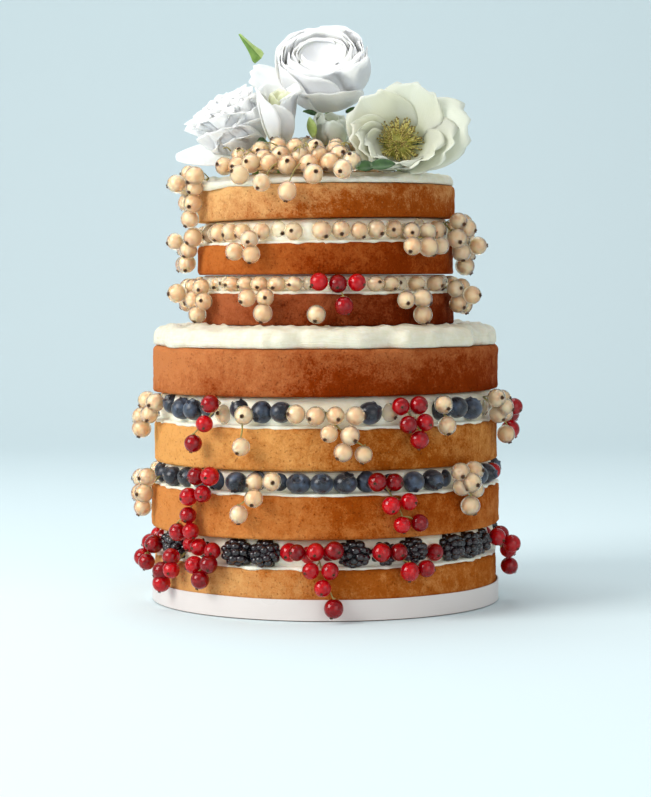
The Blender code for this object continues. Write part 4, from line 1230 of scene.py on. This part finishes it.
def makeSpread(name):
    look = spreads[name]
    bottom, top = levels[name]
    low, high = bottom + gap / 2, top - gap / 2
    table, seed = look["table"], look["seed"]

    def ringAt(row, angle):
        share, drop = spreadRows[row]
        reach = table * (1 + share) + 0.002 if share < 0 else table + (look["radius"] - table) * share
        turn = math.radians(angle)
        rough = softStep(share, 0.02, 0.3)
        edge = softStep(share, 0.7, 1.0)
        lobes = wave(math.cos(turn) * 9, math.sin(turn) * 9, seed) + 0.6 * wave(angle * 0.25, 2.0, seed)
        reach += look["ragged"] * lobes * edge
        over = 0.0
        for middle, span, out, down in look["dollops"]:
            near = math.exp(-((halfTurned(angle - middle) / span) ** 2))
            reach += out * near * edge
            over += down * near * softStep(drop, 0.4, 1.0)
        sweep = wave(reach * 210 + 1.6 * math.sin(turn * 3), angle * 0.035, seed + 3)
        peaks = wave(math.cos(turn) * reach * 190, math.sin(turn) * reach * 190, seed + 9)
        lift = rough * (look["stroke"] * sweep + look["peaks"] * peaks) * (1 - 0.5 * edge)
        height = high - (high - low) * drop + (lift if drop < 0.9 else 0.0)
        if name == "cream_7" and share >= 0 and drop < 0.5:
            height -= dentAt(halfTurned(angle)) * min(share * 3, 1.0)
        point = around(angle, reach, height)
        point.z += tiltOf(name, within((height - low) / (high - low))) * point.x - over
        return point

    pile = newPile()
    addShape(pile, turnedShape(len(spreadRows), 300, ringAt), upright, "spread")
    dressed(pieceFrom(pile, "spread_" + name), "cream", name)


for name in spreads:
    makeSpread(name)
print("spread cream made")


# The heap of currants on top, over the same mound and bar as in the solids.
heap = {
    # radius, height, first and last angle of the rows at the front
    "rows": [(0.0676, 0.2532, -58, 13), (0.0605, 0.2575, -56, 12), (0.0550, 0.2620, -42, 8)],
    "bar": [(0.0700, 0.0010), (0.0560, 0.0100), (0.0525, 0.0080), (0.0530, 0.0014)],
    "barAngles": range(-56, 12, 11),
    # the mound: how far it reaches at each angle, and its height at each share of that
    "reach": [
        (-180, 0.037), (-100, 0.037), (-80, 0.027), (-28, 0.027), (-12, 0.054), (8, 0.054),
        (24, 0.026), (76, 0.026), (100, 0.037), (180, 0.037),
    ],
    "section": [(0.0, 0.0125), (0.42, 0.0118), (0.76, 0.0085), (1.0, 0.0012)],
    "overMound": 0.0038,
    "moundRows": [(0.97, 1.4), (0.72, 1.3), (0.42, 1.25)],
    "extraRows": (0.97, 0.80, 0.62, 0.44, 0.25, 0.08), "extraOver": 0.0030,
    # single currants over the rim and on the edge of the cream
    "overEdge": [(-26, 0.0815, 0.2425), (-15, 0.0817, 0.2375)],
    "onEdge": [(-37, 0.0795, 0.2478), (-5, 0.0798, 0.2472), (7, 0.0790, 0.2500)],
    "step": 1.06, "flowerRoom": 0.0125, "stemRoom": 0.0090, "extraRoom": 0.78, "twigs": 16,
}
flowers = {
    # where the petals start, which way the flower looks, how far the stem runs straight, its foot
    "flower_crown": {
        "root": (0.001, 0.0154, 0.2943), "axis": (-0.08, -0.64, 0.76), "stem": 0.0060,
        "foot": (0.002, 0.0190, 0.2620),
    },
    "flower_ruffled": {
        "root": (-0.0440, -0.004, 0.2600), "axis": (-0.50, -0.30, 0.81), "stem": 0.0060,
        "foot": (-0.0415, -0.002, 0.2492),
    },
    "flower_small": {
        "root": (-0.026, -0.030, 0.2640), "axis": (0.0, -0.30, 1.0), "stem": 0.0060,
        "foot": (-0.026, -0.0265, 0.2494),
    },
    "flower_open": {
        "root": (0.0430, -0.038, 0.2630), "axis": (-0.10, -0.87, 0.40), "stem": 0.0070,
        "foot": (0.0430, -0.027, 0.2508),
    },
}


def readTable(table, value):
    for (first, low), (last, high) in zip(table, table[1:]):
        if first <= value <= last:
            return low + (high - low) * (value - first) / (last - first)
    return table[-1][1]


def clearOfFlowers(middle, room=1.0):
    for flower in flowers.values():
        axis = Vector(flower["axis"]).normalized()
        root = Vector(flower["root"])
        if (root + axis * heap["flowerRoom"] / 2 - middle).length < heap["flowerRoom"] * room:
            return False
        for share in (0.0, 0.33, 0.67, 1.0):
            if (root.lerp(Vector(flower["foot"]), share) - middle).length < heap["stemRoom"] * room:
                return False
    return True


def heapBerries(near):
    draw = random.Random("heap")
    floor = levels["cream_7"][1]
    places = []

    def lay(angle, radius, height, spacing):
        wide, high = berrySizes("w", draw)
        middle = around(angle, radius + draw.uniform(-0.0012, 0.0012), height)
        middle.z += draw.uniform(0.0, 0.0018) + slopes[floor] * middle.x
        places.append((middle, wide, high, "w"))
        return math.degrees(2 * wide * spacing / radius)

    for radius, height, first, last in heap["rows"]:
        angle = first
        while angle < last:
            angle += lay(angle, radius, height, heap["step"])
    for share, spacing in heap["moundRows"]:
        angle = -175 + 20 * share
        while angle < 178:
            radius = share * readTable(heap["reach"], angle)
            height = floor + heap["overMound"] + readTable(heap["section"], share)
            angle += lay(angle, radius, height, spacing)
    berries = []
    for place in places:
        middle, wide = place[0], place[1]
        others = berries if middle.xy.length < heap["bar"][2][0] else []
        free = all((middle - other[0]).length > wide * 1.5 for other in others)
        if free and clearOfFlowers(middle) and all(apart(middle, wide, other) for other in near):
            berries.append(place)
    for angle, radius, height in heap["overEdge"]:
        wide, high = berrySizes("w", draw)
        berries.append((around(angle, radius, height), wide, high, "w"))
    return berries


def reachAt(angle, share):
    return share * readTable(heap["reach"], halfTurned(angle))


# The mound and the bar between the currants, which show only in their gaps; their dark amber colour is
# painted shade.
def layHeapCore(pile, floor):
    section = [(share, readTable(heap["section"], share)) for share in (0.02, 0.22, 0.42, 0.6, 0.76, 0.9)]
    section.append((1.0, 0.0))

    def coreAt(row, angle):
        share, lift = section[row]
        point = around(angle, reachAt(angle, share), floor + lift)
        point.z += slopes[levels["cream_7"][1]] * point.x
        point.z += 0.0006 * wave(point.x * 120, point.y * 120, lift * 90)
        return point

    addShape(pile, turnedShape(len(section), 48, coreAt), upright, "core")
    bar = [around(angle, radius, floor + lift) for angle in heap["barAngles"] for radius, lift in heap["bar"]]
    corners = len(heap["bar"])
    faces, maps = [], []
    for ring in range(len(heap["barAngles"]) - 1):
        for corner in range(corners):
            after = (corner + 1) % corners
            here, ahead = ring * corners, (ring + 1) * corners
            faces.append((here + corner, ahead + corner, ahead + after, here + after))
            maps.append(((0, 0), (1, 0), (1, 1), (0, 1)))
    addShape(pile, (bar, faces, maps), upright, "core")


# More currants laid close over the whole mound, and a few on the edge of the cream.
def extraBerries(berries, floor, draw):
    extra = []
    for ring, share in enumerate(heap["extraRows"]):
        angle = -180 + 9 * ring
        while angle < 176 + 9 * ring:
            reach = reachAt(angle, share)
            wide, high = berrySizes("w", draw)
            lift = readTable(heap["section"], share) + heap["extraOver"]
            place = around(angle, reach, floor + lift + draw.uniform(0, 0.001))
            angle += math.degrees(wide / max(reach, 0.006))
            free = hasRoom(place, wide, berries + extra, 0.84) and clearOfFlowers(place, heap["extraRoom"])
            if free and all(apart(place, wide, other) for other in hangingBy["cream_7"]):
                extra.append((place, wide, high, "w"))
    for place in heap["onEdge"]:
        wide, high = berrySizes("w", draw)
        extra.append((around(*place), wide, high, "w"))
    return extra


def makeHeap():
    floor = levels["cream_7"][1] + clear
    berries = heapBerries(hangingBy["cream_7"])
    draw = random.Random("heap looks")
    pile = newPile()
    layHeapCore(pile, floor)
    overEdge = berries[-len(heap["overEdge"]):]
    for berry in berries + extraBerries(berries, floor, draw):
        place, wide = berry[0], berry[1]
        if berry in overEdge:
            towards = outwardsAt(place) * 0.5 - upwards(0.9)
        else:
            outwards = outwardsAt(place) * draw.uniform(-0.0010, 0.0012)
            place += outwards + upwards(draw.uniform(-0.0008, 0.0014))
            towards = (place - upwards(floor)).normalized() + Vector((0, -0.25, 0.1))
        towards = wandering(towards.normalized(), draw, 0.75)
        layBerry(pile, berry, towards, draw)
        if berry in overEdge:
            start = around(angleOf(place) + 4, 0.0705, 0.2535)
            stem = bentPath(start, place - towards * wide * 0.95, Vector((0, -0.001, 0.002)))
            addShape(pile, tubeShape(stem, 0.0004, 5), upright, "stalk")
    for twig in range(heap["twigs"]):
        angle = draw.uniform(-60, 30)
        start = around(angle, draw.uniform(0.056, 0.070), 0.0)
        start.z = floor + 0.010 + draw.uniform(-0.003, 0.006)
        end = start + Vector((draw.uniform(-0.009, 0.009), -0.004, draw.uniform(-0.006, 0.004)))
        path = bentPath(start, end, Vector((0, -0.001, 0.0012)))
        addShape(pile, tubeShape(path, 0.00045, 5, 0.7), upright, "stalk")
    dressed(pieceFrom(pile, "currant_heap"), "white_currant", "heap_currants")


makeHeap()
print("heap laid")


# Flowers. A petal leans out at its root and at its tip by so many degrees, and curl rolls its rim
# out. A bowl is given by its radius, height over the root and depth.
petalLooks = {
    "flower_crown": {
        "finish": "white_petal", "thick": 0.0008, "bowl": (0.0138, 0.0270, 0.0075),
        "frill": 0.12, "droop": 0.045, "taper": 0.05,
        "petals": [
            # count, root radius, length, half width, lean at root, at tip, ruffle, turn, curl
            (1, 0.0040, 0.0460, 0.0135, 61, 54, 0.0010, 176, 0),
            (1, 0.0040, 0.0480, 0.0245, 82, -22, 0.0006, 54, 8),
            (1, 0.0040, 0.0480, 0.0245, 82, -22, 0.0006, 126, 8),
            (1, 0.0040, 0.0480, 0.0245, 82, -22, 0.0006, 198, 8),
            (1, 0.0040, 0.0415, 0.0245, 86, -6, 0.0008, 270, 16),
            (1, 0.0040, 0.0455, 0.0215, 82, -22, 0.0006, 340, 8),
            (5, 0.0039, 0.0470, 0.0240, 79, -22, 0.0006, 20, 6),
            (4, 0.0037, 0.0468, 0.0250, 76, -24, 0.0005, 75, 5),
            (4, 0.0035, 0.0462, 0.0240, 72, -26, 0.0005, 35, 4),
            (4, 0.0032, 0.0450, 0.0230, 66, -28, 0.0004, 88, 3),
            (3, 0.0029, 0.0435, 0.0240, 59, -29, 0.0003, 10, 2),
        ],
    },
    "flower_ruffled": {
        "finish": "white_petal", "thick": 0.0006,
        "loose": {
            "root": (-0.0480, -0.0170, 0.2625), "way": (-1.0, -0.10, 0.00), "facing": (-0.1, -0.80, 0.60),
            "length": 0.0392, "halfWidth": 0.0090,
        },
        "frill": 0.5, "droop": 0.10, "taper": 0.10,
        "petals": [
            (5, 0.0040, 0.0405, 0.0230, 42, 3, 0.0024, 30, 12),
            (5, 0.0037, 0.0405, 0.0220, 37, 0, 0.0024, 66, 10),
            (5, 0.0034, 0.0400, 0.0210, 31, -3, 0.0022, 98, 8),
            (5, 0.0030, 0.0398, 0.0190, 25, -5, 0.0020, 12, 6),
            (5, 0.0026, 0.0392, 0.0165, 19, -6, 0.0018, 47, 5),
            (4, 0.0021, 0.0385, 0.0140, 13, -6, 0.0014, 80, 4),
            (3, 0.0015, 0.0372, 0.0105, 7, -4, 0.0012, 25, 3),
            (1, 0.0044, 0.0370, 0.0230, 52, 8, 0.0020, 240, 10),
            (1, 0.0044, 0.0330, 0.0220, 56, 10, 0.0020, 272, 12),
            (1, 0.0044, 0.0280, 0.0200, 60, 14, 0.0020, 250, 14),
            (1, 0.0044, 0.0350, 0.0200, 52, 8, 0.0020, 304, 12),
        ],
    },
    "flower_small": {
        "finish": "white_petal",
        "frill": 0.2, "droop": 0.10, "taper": 0.16,
        "petals": [
            (1, 0.0030, 0.0385, 0.0150, 27, 4, 0.0006, 196, 8),
            (1, 0.0030, 0.0380, 0.0140, 26, 0, 0.0006, 116, 6),
            (1, 0.0030, 0.0375, 0.0140, 24, -2, 0.0006, 36, 14),
            (1, 0.0030, 0.0365, 0.0135, 22, -4, 0.0006, 342, 20),
            (1, 0.0027, 0.0350, 0.0125, 19, -4, 0.0006, 354, 18),
            (1, 0.0027, 0.0340, 0.0120, 16, -4, 0.0006, 324, 16),
            (1, 0.0030, 0.0290, 0.0105, 24, 4, 0.0006, 258, 4),
        ],
        "inner": [(3, 0.0020, 0.0330, 0.0100, 12, -2, 0.0006, 80, 2)],
    },
    "flower_open": {
        "finish": "ivory_petal",
        "frill": 0.35, "droop": 0.13, "taper": 0.14,
        "petals": [
            (1, 0.0050, 0.0390, 0.0270, 66, 62, 0.0014, 4, 8),
            (1, 0.0050, 0.0340, 0.0260, 64, 46, 0.0014, 62, 4),
            (1, 0.0050, 0.0330, 0.0260, 62, 36, 0.0014, 122, 4),
            (1, 0.0050, 0.0335, 0.0225, 60, 14, 0.0014, 182, 14),
            (1, 0.0047, 0.0325, 0.0220, 56, 8, 0.0014, 200, 16),
            (1, 0.0044, 0.0300, 0.0200, 52, 4, 0.0014, 216, 22),
            (1, 0.0040, 0.0290, 0.0190, 62, -4, 0.0012, 250, 26),
            (1, 0.0040, 0.0310, 0.0230, 62, 20, 0.0014, 306, 8),
            (1, 0.0048, 0.0330, 0.0240, 62, 44, 0.0014, 335, 4),
        ],
    },
}


plainLook = {"frill": 0.5, "droop": 0.15, "taper": 0.22}
sepalWhorls = [(5, 0.0024, 0.012, 0.0035, 80, 30, 0.0, 72 * place + 10, 0) for place in range(5)]
bowlRows = [
    (0.02, 0.0), (0.3, 0.06), (0.55, 0.22), (0.75, 0.45), (0.9, 0.72), (1.0, 1.0), (1.06, 0.9),
    (0.7, -0.6), (0.02, -1.2),
]
stamens = {
    "threads": 300, "shift": (-0.0015, 0.0, 0.0018), "scale": (1.14, 1.14, 1.1, 1.0),
    "dome": (0.0075, 0.0075, 0.0085, 1.0), "from": 0.0060, "reach": (0.0104, 0.0042),
    "thread": 0.00020, "anther": (0.00050, 0.00050, 0.00068, 1.0),
}


def petalSheet(whorl, index, seed, across=17, along=17, thick=0.00045, look=plainLook):
    count, root, length, halfWidth, leanRoot, leanTip, ruffle, turn, curl = whorl
    frillShare, droop, taper = look["frill"], look["droop"], look["taper"]
    draw = random.Random(f"{seed} {turn} {index}")
    middleTurn = math.radians(turn + 360 * index / count + draw.uniform(-5, 5) * (count > 1))
    own = draw.uniform(0, 9)
    longer = 1 + draw.uniform(-0.04, 0.04) * (count > 1)
    pieces = 16
    spines = {}

    # The middle line of the petal at a share of its length, and the width there.
    def spineAt(share):
        out, up = root, 0.0
        for i in range(pieces):
            at = share * (i + 0.5) / pieces
            lean = leanRoot + (leanTip - leanRoot) * at + curl * softStep(at, 0.72, 1.0) ** 1.4 * 2.2
            out += math.sin(math.radians(lean)) * length * longer * share / pieces
            up += math.cos(math.radians(lean)) * length * longer * share / pieces
        width = halfWidth * (0.28 + 0.72 * math.sin(math.pi * (0.10 + share * 0.56)))
        return out, up, width * (1 - taper * share**4 - 0.18 * share**12)

    def pointAt(share, sideShare):
        if share not in spines:
            spines[share] = spineAt(share)
        out, up, width = spines[share]
        side = 2 * sideShare - 1
        up -= length * droop * side * side * share
        up += 0.0007 * frillShare * math.sin(side * 9 + own * 3) * share**6
        bend = width / max(out, width * 0.75)
        ripple = math.sin(2.6 * math.pi * side + index * 1.9)
        frill = math.sin(5.6 * math.pi * side + own) * share**3
        out += ruffle * share * share * (ripple + frillShare * frill) * 0.8
        out += 0.0016 * side * min(share * 3, 1.0)
        out += (0.0002 + 0.0006 * frillShare) * wave(side * 2.2 + own, share * 2.6, own)
        angle = middleTurn + side * bend
        return Vector((out * math.cos(angle), out * math.sin(angle), up))

    return thickened(gridOf(along, across, pointAt), thick)


# Gives a grid of points its thickness, thinner towards the rim.
def thickened(grid, thick):
    along, across = len(grid), len(grid[0])
    points, faces, maps = [], [], []
    for sideOf in (1, -1):
        for i in range(along):
            for j in range(across):
                ahead = grid[min(i + 1, along - 1)][j] - grid[max(i - 1, 0)][j]
                beside = grid[i][min(j + 1, across - 1)] - grid[i][max(j - 1, 0)]
                facing = ahead.cross(beside).normalized()
                edge = min(i + 0.35, along - 0.65 - i, j + 0.35, across - 0.65 - j, 1.0)
                points.append(grid[i][j] + facing * thick * 0.5 * sideOf * max(edge, 0.35))
    half = along * across
    for i in range(along - 1):
        for j in range(across - 1):
            a, b = i * across + j, (i + 1) * across + j
            c, d = b + 1, a + 1
            low, high = i / (along - 1), (i + 1) / (along - 1)
            left, right = j / (across - 1), (j + 1) / (across - 1)
            faces.append((a, b, c, d))
            maps.append(((left, low), (left, high), (right, high), (right, low)))
            faces.append((d + half, c + half, b + half, a + half))
            maps.append(((right, low), (right, high), (left, high), (left, low)))
    rim = [(i, 0) for i in range(along)] + [(along - 1, j) for j in range(1, across)]
    rim += [(i, across - 1) for i in range(along - 2, -1, -1)] + [(0, j) for j in range(across - 2, 0, -1)]
    for (i, j), (k, m) in zip(rim, rim[1:] + rim[:1]):
        a, b = i * across + j, k * across + m
        faces.append((b, a, a + half, b + half))
        here, there = (j / (across - 1), i / (along - 1)), (m / (across - 1), k / (along - 1))
        maps.append((there, here, here, there))
    return points, faces, maps


def loosePetal(loose):
    way = Vector(loose["way"]).normalized()
    side = Vector(loose["facing"]).cross(way).normalized()
    face = way.cross(side)

    def pointAt(share, sideShare):
        across = 2 * sideShare - 1
        width = loose["halfWidth"] * math.sin(math.pi * (0.14 + 0.76 * share)) ** 0.7
        cup = 0.0008 * math.sin(across * 4 + share * 3)
        cup -= 0.0022 * (1 - across * across) * math.sin(math.pi * share)
        point = Vector(loose["root"]) + way * loose["length"] * share * (1 - 0.06 * across * across)
        return point + side * width * across + face * cup - upwards(0.0030 * share * share)

    return thickened(gridOf(14, 14, pointAt), 0.0006)


# The smooth hollow in the middle of the crown flower.
def bowlShape(wide, lift, depth):
    def bowlAt(row, angle):
        share, high = bowlRows[row]
        x, y = math.cos(math.radians(angle)), math.sin(math.radians(angle))
        reach = wide * share * (1 + 0.05 * wave(x, y, 5.0))
        return Vector((reach * x, reach * y, lift + depth * high))

    return turnedShape(len(bowlRows), 48, bowlAt)


def layStamens(pile, place, draw):
    place = Matrix.Translation(stamens["shift"]) @ place @ Matrix.Diagonal(stamens["scale"])
    dome = ballShape(24, [12, 24, 36, 48, 60, 72, 84, 100])
    addShape(pile, dome, place @ Matrix.Diagonal(stamens["dome"]), "heart")
    bead = ballShape(6, [45, 90, 135])
    near, further = stamens["reach"]
    for thread in range(stamens["threads"]):
        polar, turn = math.radians(draw.uniform(14, 92)), draw.uniform(0, 2 * math.pi)
        across = math.sin(polar)
        way = Vector((across * math.cos(turn), across * math.sin(turn), math.cos(polar)))
        end = way * (near + further * across) * draw.uniform(0.84, 1.06)
        path = bentPath(way * stamens["from"], end, upwards(0.0008), 3)
        addShape(pile, tubeShape(path, stamens["thread"], 4), place, "stamen")
        tip = Matrix.Translation(end) @ Matrix.Diagonal(stamens["anther"])
        addShape(pile, bead, place @ tip, "anther")


def makeFlower(name):
    flower, look = flowers[name], petalLooks[name]
    place = plantedAt(flower["root"], flower["axis"])
    pile = newPile()
    for whorl in look["petals"]:
        for index in range(whorl[0]):
            sheet = petalSheet(whorl, index, name, 19, 17, look.get("thick", 0.00045), look)
            addShape(pile, sheet, place, look["finish"])
    if "bowl" in look:
        addShape(pile, bowlShape(*look["bowl"]), place, look["finish"])
    if "loose" in look:
        addShape(pile, loosePetal(look["loose"]), upright, look["finish"])
    for whorl in look.get("inner", []):
        for index in range(whorl[0]):
            addShape(pile, petalSheet(whorl, index, name, look=look), place, "green_petal")
    foot = place.inverted() @ Vector(flower["foot"])
    neck = upwards(-flower["stem"])
    stem = [upwards(0.002).lerp(neck, i / 4) for i in range(4)] + [neck.lerp(foot, i / 4) for i in range(5)]
    addShape(pile, tubeShape(stem, 0.0020, 10), place, "leaf")
    below = place @ Matrix.Translation((0, 0, -0.0015))
    for whorl in sepalWhorls:
        addShape(pile, petalSheet(whorl, 0, name + "sepal", 5, 6), below, "darkLeaf")
    if name == "flower_open":
        layStamens(pile, place, random.Random(name))
    dressed(pieceFrom(pile, name.replace("flower_", "") + "_flower"), "petal", name)


for name in flowers:
    makeFlower(name)
print("flowers made")


# The pointed sepal that stands out by the crown flower.
sepal = {
    "root": (-0.0376, -0.002, 0.3182), "tip": (-0.0504, -0.008, 0.3318),
    "length": 0.0195, "width": 0.0108, "thickness": 0.0006,
}


def makeSepal():
    way = Vector(sepal["tip"]) - Vector(sepal["root"])
    place = Matrix.Translation(sepal["root"]) @ aimed(way, "Z", "X")
    pile = newPile()
    # The halves are painted light and shade of one green: the darker, shaded half runs from the edge to the
    # fold, the lighter, lit one from the fold to the edge.
    for start, finish in ((-1, "leaf"), (0, "youngLeaf")):

        def pointAt(share, sideShare):
            side = sideShare + start
            width = sepal["width"] / 2 * min(0.72 + share * 2.4, 1.0) * (1.03 - share) ** 1.15
            fold = 0.0030 * abs(side) * (1 - share) + 0.0012 * math.sin(share * 5.0) * side
            return Vector((side * width, fold, share * sepal["length"]))

        addShape(pile, thickened(gridOf(14, 5, pointAt), sepal["thickness"]), place, finish)
    dressed(pieceFrom(pile, "pointed_sepal"), "leaf", "leaf_sepal")


makeSepal()
print("sepal made")


# A half-open bud under the crown flower, and small leaves beside it and on the cream.
budLook = {
    "place": (-0.0010, -0.020, 0.2655), "axis": (0.30, -0.35, 1.0),
    "petals": [
        (3, 0.0018, 0.0230, 0.0130, 70, -30, 0.0006, 40, 0),
        (3, 0.0014, 0.0215, 0.0110, 60, -32, 0.0005, 85, 0),
        (1, 0.0020, 0.0240, 0.0120, 80, 10, 0.0010, 0, 10),
    ],
}
smallLeaves = [
    # root, direction, roll in degrees, length, half width, finish
    ((0.0165, -0.0690, 0.2512), (1.0, -0.05, 0.10), 60, 0.0120, 0.0036, "darkLeaf"),
    ((0.0250, -0.0705, 0.2515), (1.0, -0.10, 0.16), 55, 0.0140, 0.0040, "darkLeaf"),
    ((0.0120, -0.0060, 0.2860), (1.0, -0.40, 0.30), 50, 0.0095, 0.0026, "darkLeaf"),
    ((-0.0050, -0.0100, 0.2840), (-1.0, -0.30, 0.45), -50, 0.0085, 0.0022, "darkLeaf"),
    ((-0.0075, -0.0320, 0.2700), (-0.10, -0.20, 1.0), 0, 0.0120, 0.0032, "youngLeaf"),
]


def makeBud():
    place = plantedAt(budLook["place"], budLook["axis"])
    pile = newPile()
    for whorl in budLook["petals"]:
        for index in range(whorl[0]):
            addShape(pile, petalSheet(whorl, index, "bud", 11, 11), place, "bud_petal")
    dressed(pieceFrom(pile, "half_open_bud"), "petal")


def leafSheet(length, halfWidth):
    def pointAt(share, sideShare):
        side = 2 * sideShare - 1
        width = halfWidth * math.sin(math.pi * (0.08 + 0.90 * share)) ** 0.8
        return Vector((side * width, 0.0010 * abs(side) - 0.002 * share**2, share * length))

    return thickened(gridOf(8, 6, pointAt), 0.0004)


def makeSmallLeaves():
    pile = newPile()
    for root, direction, roll, length, halfWidth, finish in smallLeaves:
        rolled = aimed(Vector(direction)) @ Matrix.Rotation(math.radians(roll), 4, "Z")
        addShape(pile, leafSheet(length, halfWidth), Matrix.Translation(root) @ rolled, finish)
    dressed(pieceFrom(pile, "small_leaves"), "leaf")


makeBud()
makeSmallLeaves()
print("bud and leaves made")


# Floor that sweeps up into a plain pale backdrop.
stage = {
    "front": -9.0, "wallFoot": 1.2, "sweep": 0.8, "wallTop": 3.4, "halfWidth": 8.0,
    "colour": (0.73, 0.85, 0.88, 1.0), "worldColour": (0.93, 0.97, 1.0, 1.0), "worldStrength": 0.50,
}


def makeStage():
    foot, sweep = stage["wallFoot"], stage["sweep"]
    profile = [(stage["front"], 0.0), (foot, 0.0)]
    for turn in (math.radians(90 * step / 12) for step in range(1, 13)):
        profile.append((foot + sweep * math.sin(turn), sweep - sweep * math.cos(turn)))
    profile.append((foot + sweep, stage["wallTop"]))
    points = [(x, y, z) for y, z in profile for x in (-stage["halfWidth"], stage["halfWidth"])]
    faces = [(2 * i, 2 * i + 1, 2 * i + 3, 2 * i + 2) for i in range(len(profile) - 1)]
    mesh = bpy.data.meshes.new("floor")
    mesh.from_pydata(points, [], faces)
    mesh.polygons.foreach_set("use_smooth", [True] * len(faces))
    material = newMaterial("pale_floor", Roughness=0.9, Base_Color=stage["colour"])[0]
    mesh.materials.append(material)
    floor = bpy.data.objects.new("floor", mesh)
    bpy.context.scene.collection.objects.link(floor)


def makeLights():
    for name, place, aim, width, power, colour in softLights:
        data = bpy.data.lights.new(name, "AREA")
        data.energy = power
        data.size = width
        data.color = colour
        light = bpy.data.objects.new(name, data)
        light.location = place
        light.rotation_euler = aimed(Vector(aim) - Vector(place), "-Z").to_euler()
        bpy.context.scene.collection.objects.link(light)
    world = bpy.data.worlds.new("studio")
    world.use_nodes = True
    glow = world.node_tree.nodes["Background"].inputs
    glow["Color"].default_value = stage["worldColour"]
    glow["Strength"].default_value = stage["worldStrength"]
    bpy.context.scene.world = world


def makeCamera():
    data = bpy.data.cameras.new("camera")
    data.lens = picture["lens"]
    camera = bpy.data.objects.new("camera", data)
    place, aim = Vector(picture["place"]), Vector(picture["aim"])
    camera.matrix_world = Matrix.Translation(place) @ aimed(aim - place, "-Z")
    bpy.context.scene.collection.objects.link(camera)
    bpy.context.scene.camera = camera
    bpy.context.scene.view_settings.view_transform = "Standard"


makeStage()
makeLights()
makeCamera()
print("stage, lights and camera set")
